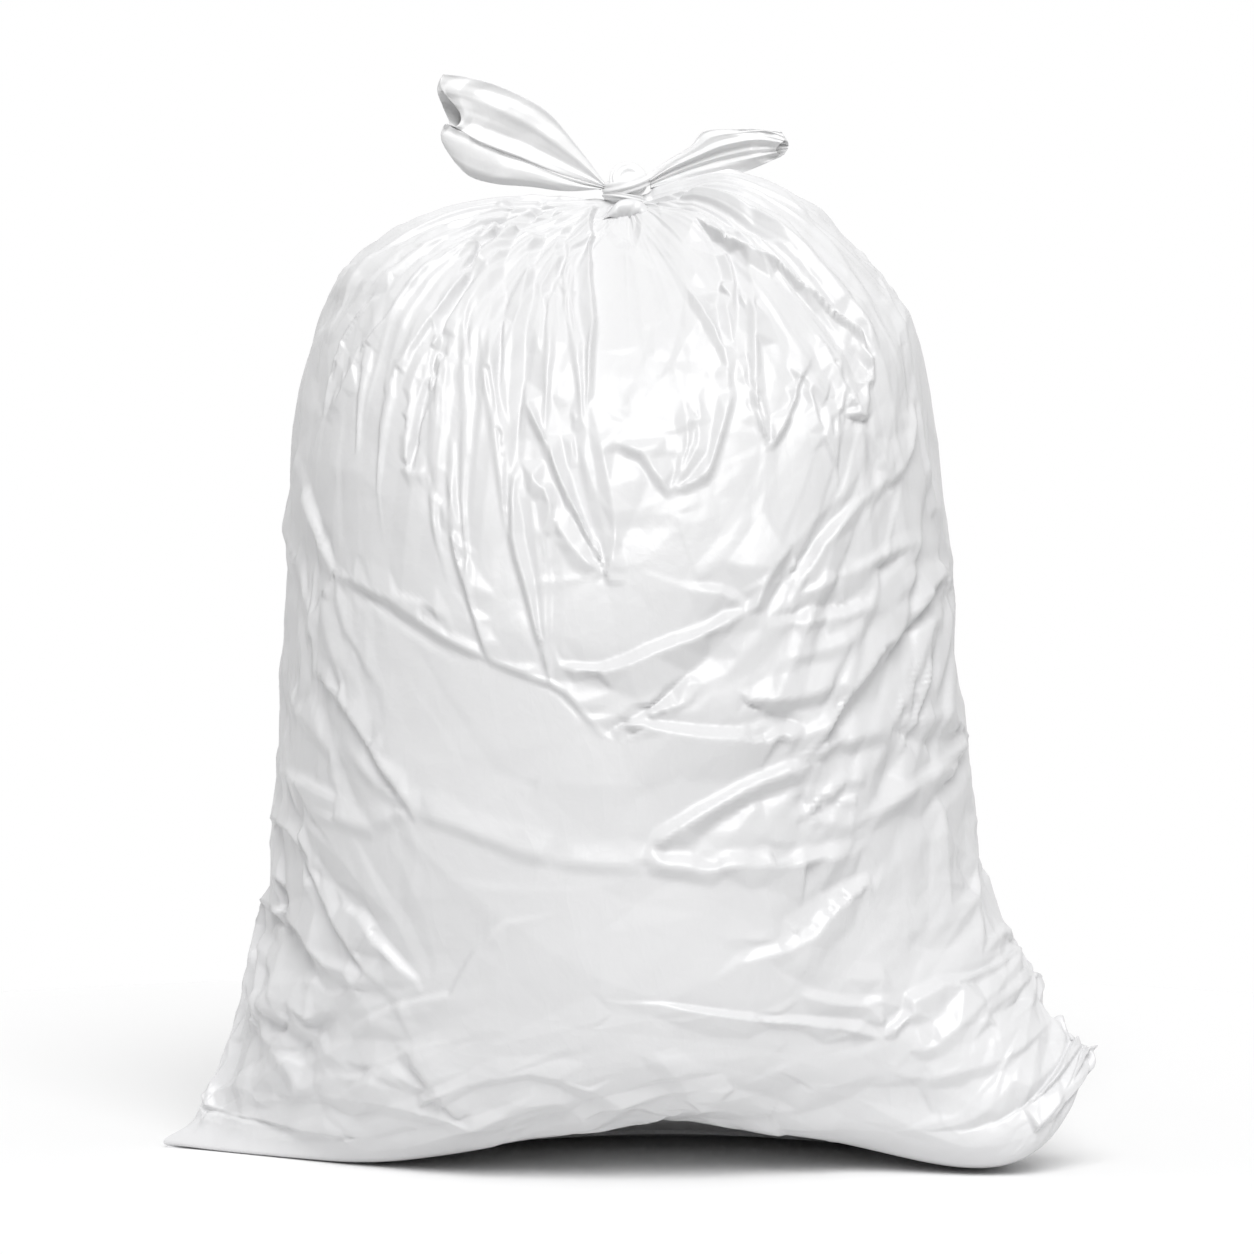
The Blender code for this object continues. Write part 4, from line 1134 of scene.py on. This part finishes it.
class BINBAG_OT_ears(bpy.types.Operator):
    """Makes the two ears of film that stand out of the knot"""

    bl_idname = "binbag.ears"
    bl_label = "Ears"

    def execute(self, context):
        settings = context.scene.bin_bag
        # Painted light: the ears run from the film's white up to the lighter loose colour
        film = film_material("ear_film", settings.colours.film_white, settings.colours.loose, 0.0008)

        def left_belly(side):
            low = -0.0035 * np.sin(np.pi * np.clip(side / 0.5, 0, 1)) ** 0.8
            high = 0.0035 * np.sin(np.pi * np.clip((side - 0.5) / 0.5, 0, 1))
            ridge = -0.004 * np.clip(1 - np.abs(side - 0.5) / 0.08, 0, 1)
            fold = -0.003 * np.clip(1 - np.abs(side - 0.80) / 0.10, 0, 1)
            return low + high + ridge + fold

        def right_belly(side):
            return -0.002 * np.sin(np.pi * side) - 0.003 * np.clip(1 - np.abs(side - 0.62) / 0.14, 0, 1)

        sheets = ear_layers(LEFT_EAR, left_belly, settings.ears.left_gap, 11, (0.62, 0.16, 0.16))
        link_piece(ear_mesh("left_ear", sheets, (-0.012, 0.0, 0.674)), film)
        sheets = ear_layers(RIGHT_EAR, right_belly, settings.ears.right_gap, 12, (0.35, 0.25, 0.10))
        link_piece(ear_mesh("right_ear", sheets, (0.014, 0.0, 0.675)), film)
        return {"FINISHED"}


class BINBAG_OT_knot(bpy.types.Operator):
    """Wraps the neck with the bands of the knot"""

    bl_idname = "binbag.knot"
    bl_label = "Knot"

    def execute(self, context):
        settings = context.scene.bin_bag
        band, pleats = settings.knot.band, settings.knot.pleats
        # Painted light: the knot's bands run from the film's white up to the lighter loose colour
        film = film_material("knot_film", settings.colours.film_white, settings.colours.loose, 0.0004)
        middle = Vector((SHIFT[0] + 0.0015, 0.0, 0.676))
        wraps = (
            ("knot_wrap", (0, 0, 0), (0.0085, 0.0090), 8, -16, 1.0),
            ("knot_over", (0.001, -0.002, 0.001), (0.0070, 0.0085), 58, 24, 0.80),
            ("knot_collar", (-0.001, 0, -0.0105), (0.0105, 0.0110), -4, 10, 0.62),
        )
        for name, offset, radii, tilt, turn, share in wraps:
            spots = wrap_path(middle + Vector(offset), radii, tilt, turn)
            piece = swept_piece(name, spots, True, film, width=band * share, thickness=band * share * 0.72,
                                pleats=pleats, pleat_depth=0.42, steps=90)
            link_piece(piece, film)
        # Painted shade: the flap's film takes the same darkening low down as the body
        panel = film_material("flap_film", settings.colours.film_painted_shade, settings.colours.film_white, 0.0004)
        link_piece(flap_mesh("knot_flap"), panel)
        return {"FINISHED"}


class BINBAG_OT_seal(bpy.types.Operator):
    """Lays the welded seal along the bottom edge of the sack"""

    bl_idname = "binbag.seal"
    bl_label = "Bottom seal"

    def execute(self, context):
        settings = context.scene.bin_bag
        # Painted shade: the seal lies at the floor, so it takes the darker end of the film's painted shade
        film = film_material("seal_film", settings.colours.film_painted_shade, settings.colours.film_white, 0.0003)
        around, _, points = film_grid(False)
        seam = points[-1, : len(around) // 2 + 1] + np.array([SHIFT[0], 0.0, 0.0])
        seam[:, 2] = np.maximum(seam[:, 2], 0.0008)
        piece = swept_piece("bottom_seal", [Vector(spot) for spot in seam], False, film,
                            width=settings.seal.width, thickness=FILM_THICKNESS,
                            pleats=1, pleat_depth=0.0, steps=160)
        link_piece(piece, film)
        return {"FINISHED"}


class BINBAG_OT_stage(bpy.types.Operator):
    """Sets up the floor, the light and the camera"""

    bl_idname = "binbag.stage"
    bl_label = "Stage"

    def execute(self, context):
        settings = context.scene.bin_bag
        scene = context.scene
        rim = [2 * math.pi * k / FLOOR_SIDES for k in range(FLOOR_SIDES)]
        reach = settings.stage.floor_reach
        spots = [(reach * math.cos(turn), reach * math.sin(turn), 0) for turn in rim]
        floor = new_piece("floor", spots, [], [range(FLOOR_SIDES)])
        shader = Shader("pale_floor")
        matt = shader.node("ShaderNodeBsdfDiffuse", {}, {"Color": (*settings.colours.floor, 1)})
        shader.node("ShaderNodeOutputMaterial", {}, {"Surface": matt.outputs[0]})
        floor.data.materials.append(shader.material)

        world = bpy.data.worlds.new("studio")
        scene.world = world
        world.use_nodes = True
        room = Shader("studio", world.node_tree)
        path = room.node("ShaderNodeLightPath").outputs
        seen = path["Is Camera Ray"]
        for ray in ("Is Transmission Ray", "Is Glossy Ray"):
            seen = room.node("ShaderNodeMath", {"operation": "MAXIMUM"}, {0: seen, 1: path[ray]}).outputs[0]
        way = room.node("ShaderNodeTexCoord").outputs["Object"]
        high = room.node("ShaderNodeSeparateXYZ", {}, {"Vector": way}).outputs["Z"]
        level = settings.stage.sky_level
        stops = [(place, (*[level * share] * 3, 1)) for place, share in ROOM_TONES]
        rise = room.value("ShaderNodeMath", {"operation": "MULTIPLY_ADD"}, {0: high, 1: 0.5, 2: 0.5})
        tones = room.node("ShaderNodeValToRGB", {"stops": stops}, {"Fac": rise})
        lit = room.node("ShaderNodeBackground", {}, {"Color": tones.outputs[0], "Strength": 1.0})
        white = room.node("ShaderNodeBackground", {}, {"Color": (1, 1, 1, 1), "Strength": 1.0})
        mix = room.node("ShaderNodeMixShader", {}, {0: seen, 1: lit.outputs[0], 2: white.outputs[0]})
        room.node("ShaderNodeOutputWorld", {}, {"Surface": mix.outputs[0]})

        light = bpy.data.lights.new("overhead", "SUN")
        light.energy = settings.stage.sun_level
        light.angle = settings.stage.sun_spread
        lamp = bpy.data.objects.new("overhead", light)
        lamp.rotation_euler = (settings.stage.sun_tilt, 0.0, settings.stage.sun_turn)
        scene.collection.objects.link(lamp)

        camera = bpy.data.cameras.new("camera")
        camera.sensor_width = 36.0
        camera.lens = settings.stage.lens
        camera.clip_end = 50.0
        eye = bpy.data.objects.new("camera", camera)
        eye.location = EYE
        eye.rotation_euler = (math.radians(90 - EYE_PITCH), 0.0, 0.0)
        scene.collection.objects.link(eye)
        scene.camera = eye
        scene.view_settings.view_transform = "Standard"
        return {"FINISHED"}


class BINBAG_PT_panel(bpy.types.Panel):
    """Lists the pieces of the bag and their settings"""

    bl_label = "Full Bin Bag"
    bl_idname = "BINBAG_PT_panel"
    bl_space_type = "VIEW_3D"
    bl_region_type = "UI"
    bl_category = "Bin Bag"

    def draw(self, context):
        settings = context.scene.bin_bag
        for operator, group in STEPS:
            box = self.layout.box()
            box.operator(operator)
            self.list_values(box, getattr(settings, group))
        self.list_values(self.layout.box(), settings.colours)

    def list_values(self, box, owner):
        for name in owner.__annotations__:
            box.prop(owner, name)


STEPS = [
    ("binbag.film", "film"),
    ("binbag.ears", "ears"),
    ("binbag.knot", "knot"),
    ("binbag.seal", "seal"),
    ("binbag.stage", "stage"),
]
CLASSES = [
    FilmSettings,
    ColourSettings,
    EarSettings,
    KnotSettings,
    SealSettings,
    StageSettings,
    BinBagSettings,
    BINBAG_OT_film,
    BINBAG_OT_ears,
    BINBAG_OT_knot,
    BINBAG_OT_seal,
    BINBAG_OT_stage,
    BINBAG_PT_panel,
]


def register():
    for kind in CLASSES:
        bpy.utils.register_class(kind)
    bpy.types.Scene.bin_bag = PointerProperty(type=BinBagSettings)


def unregister():
    del bpy.types.Scene.bin_bag
    for kind in reversed(CLASSES):
        bpy.utils.unregister_class(kind)


def main():
    register()
    for operator, _ in STEPS:
        group, name = operator.split(".")
        getattr(getattr(bpy.ops, group), name)()


if __name__ == "__main__":
    main()
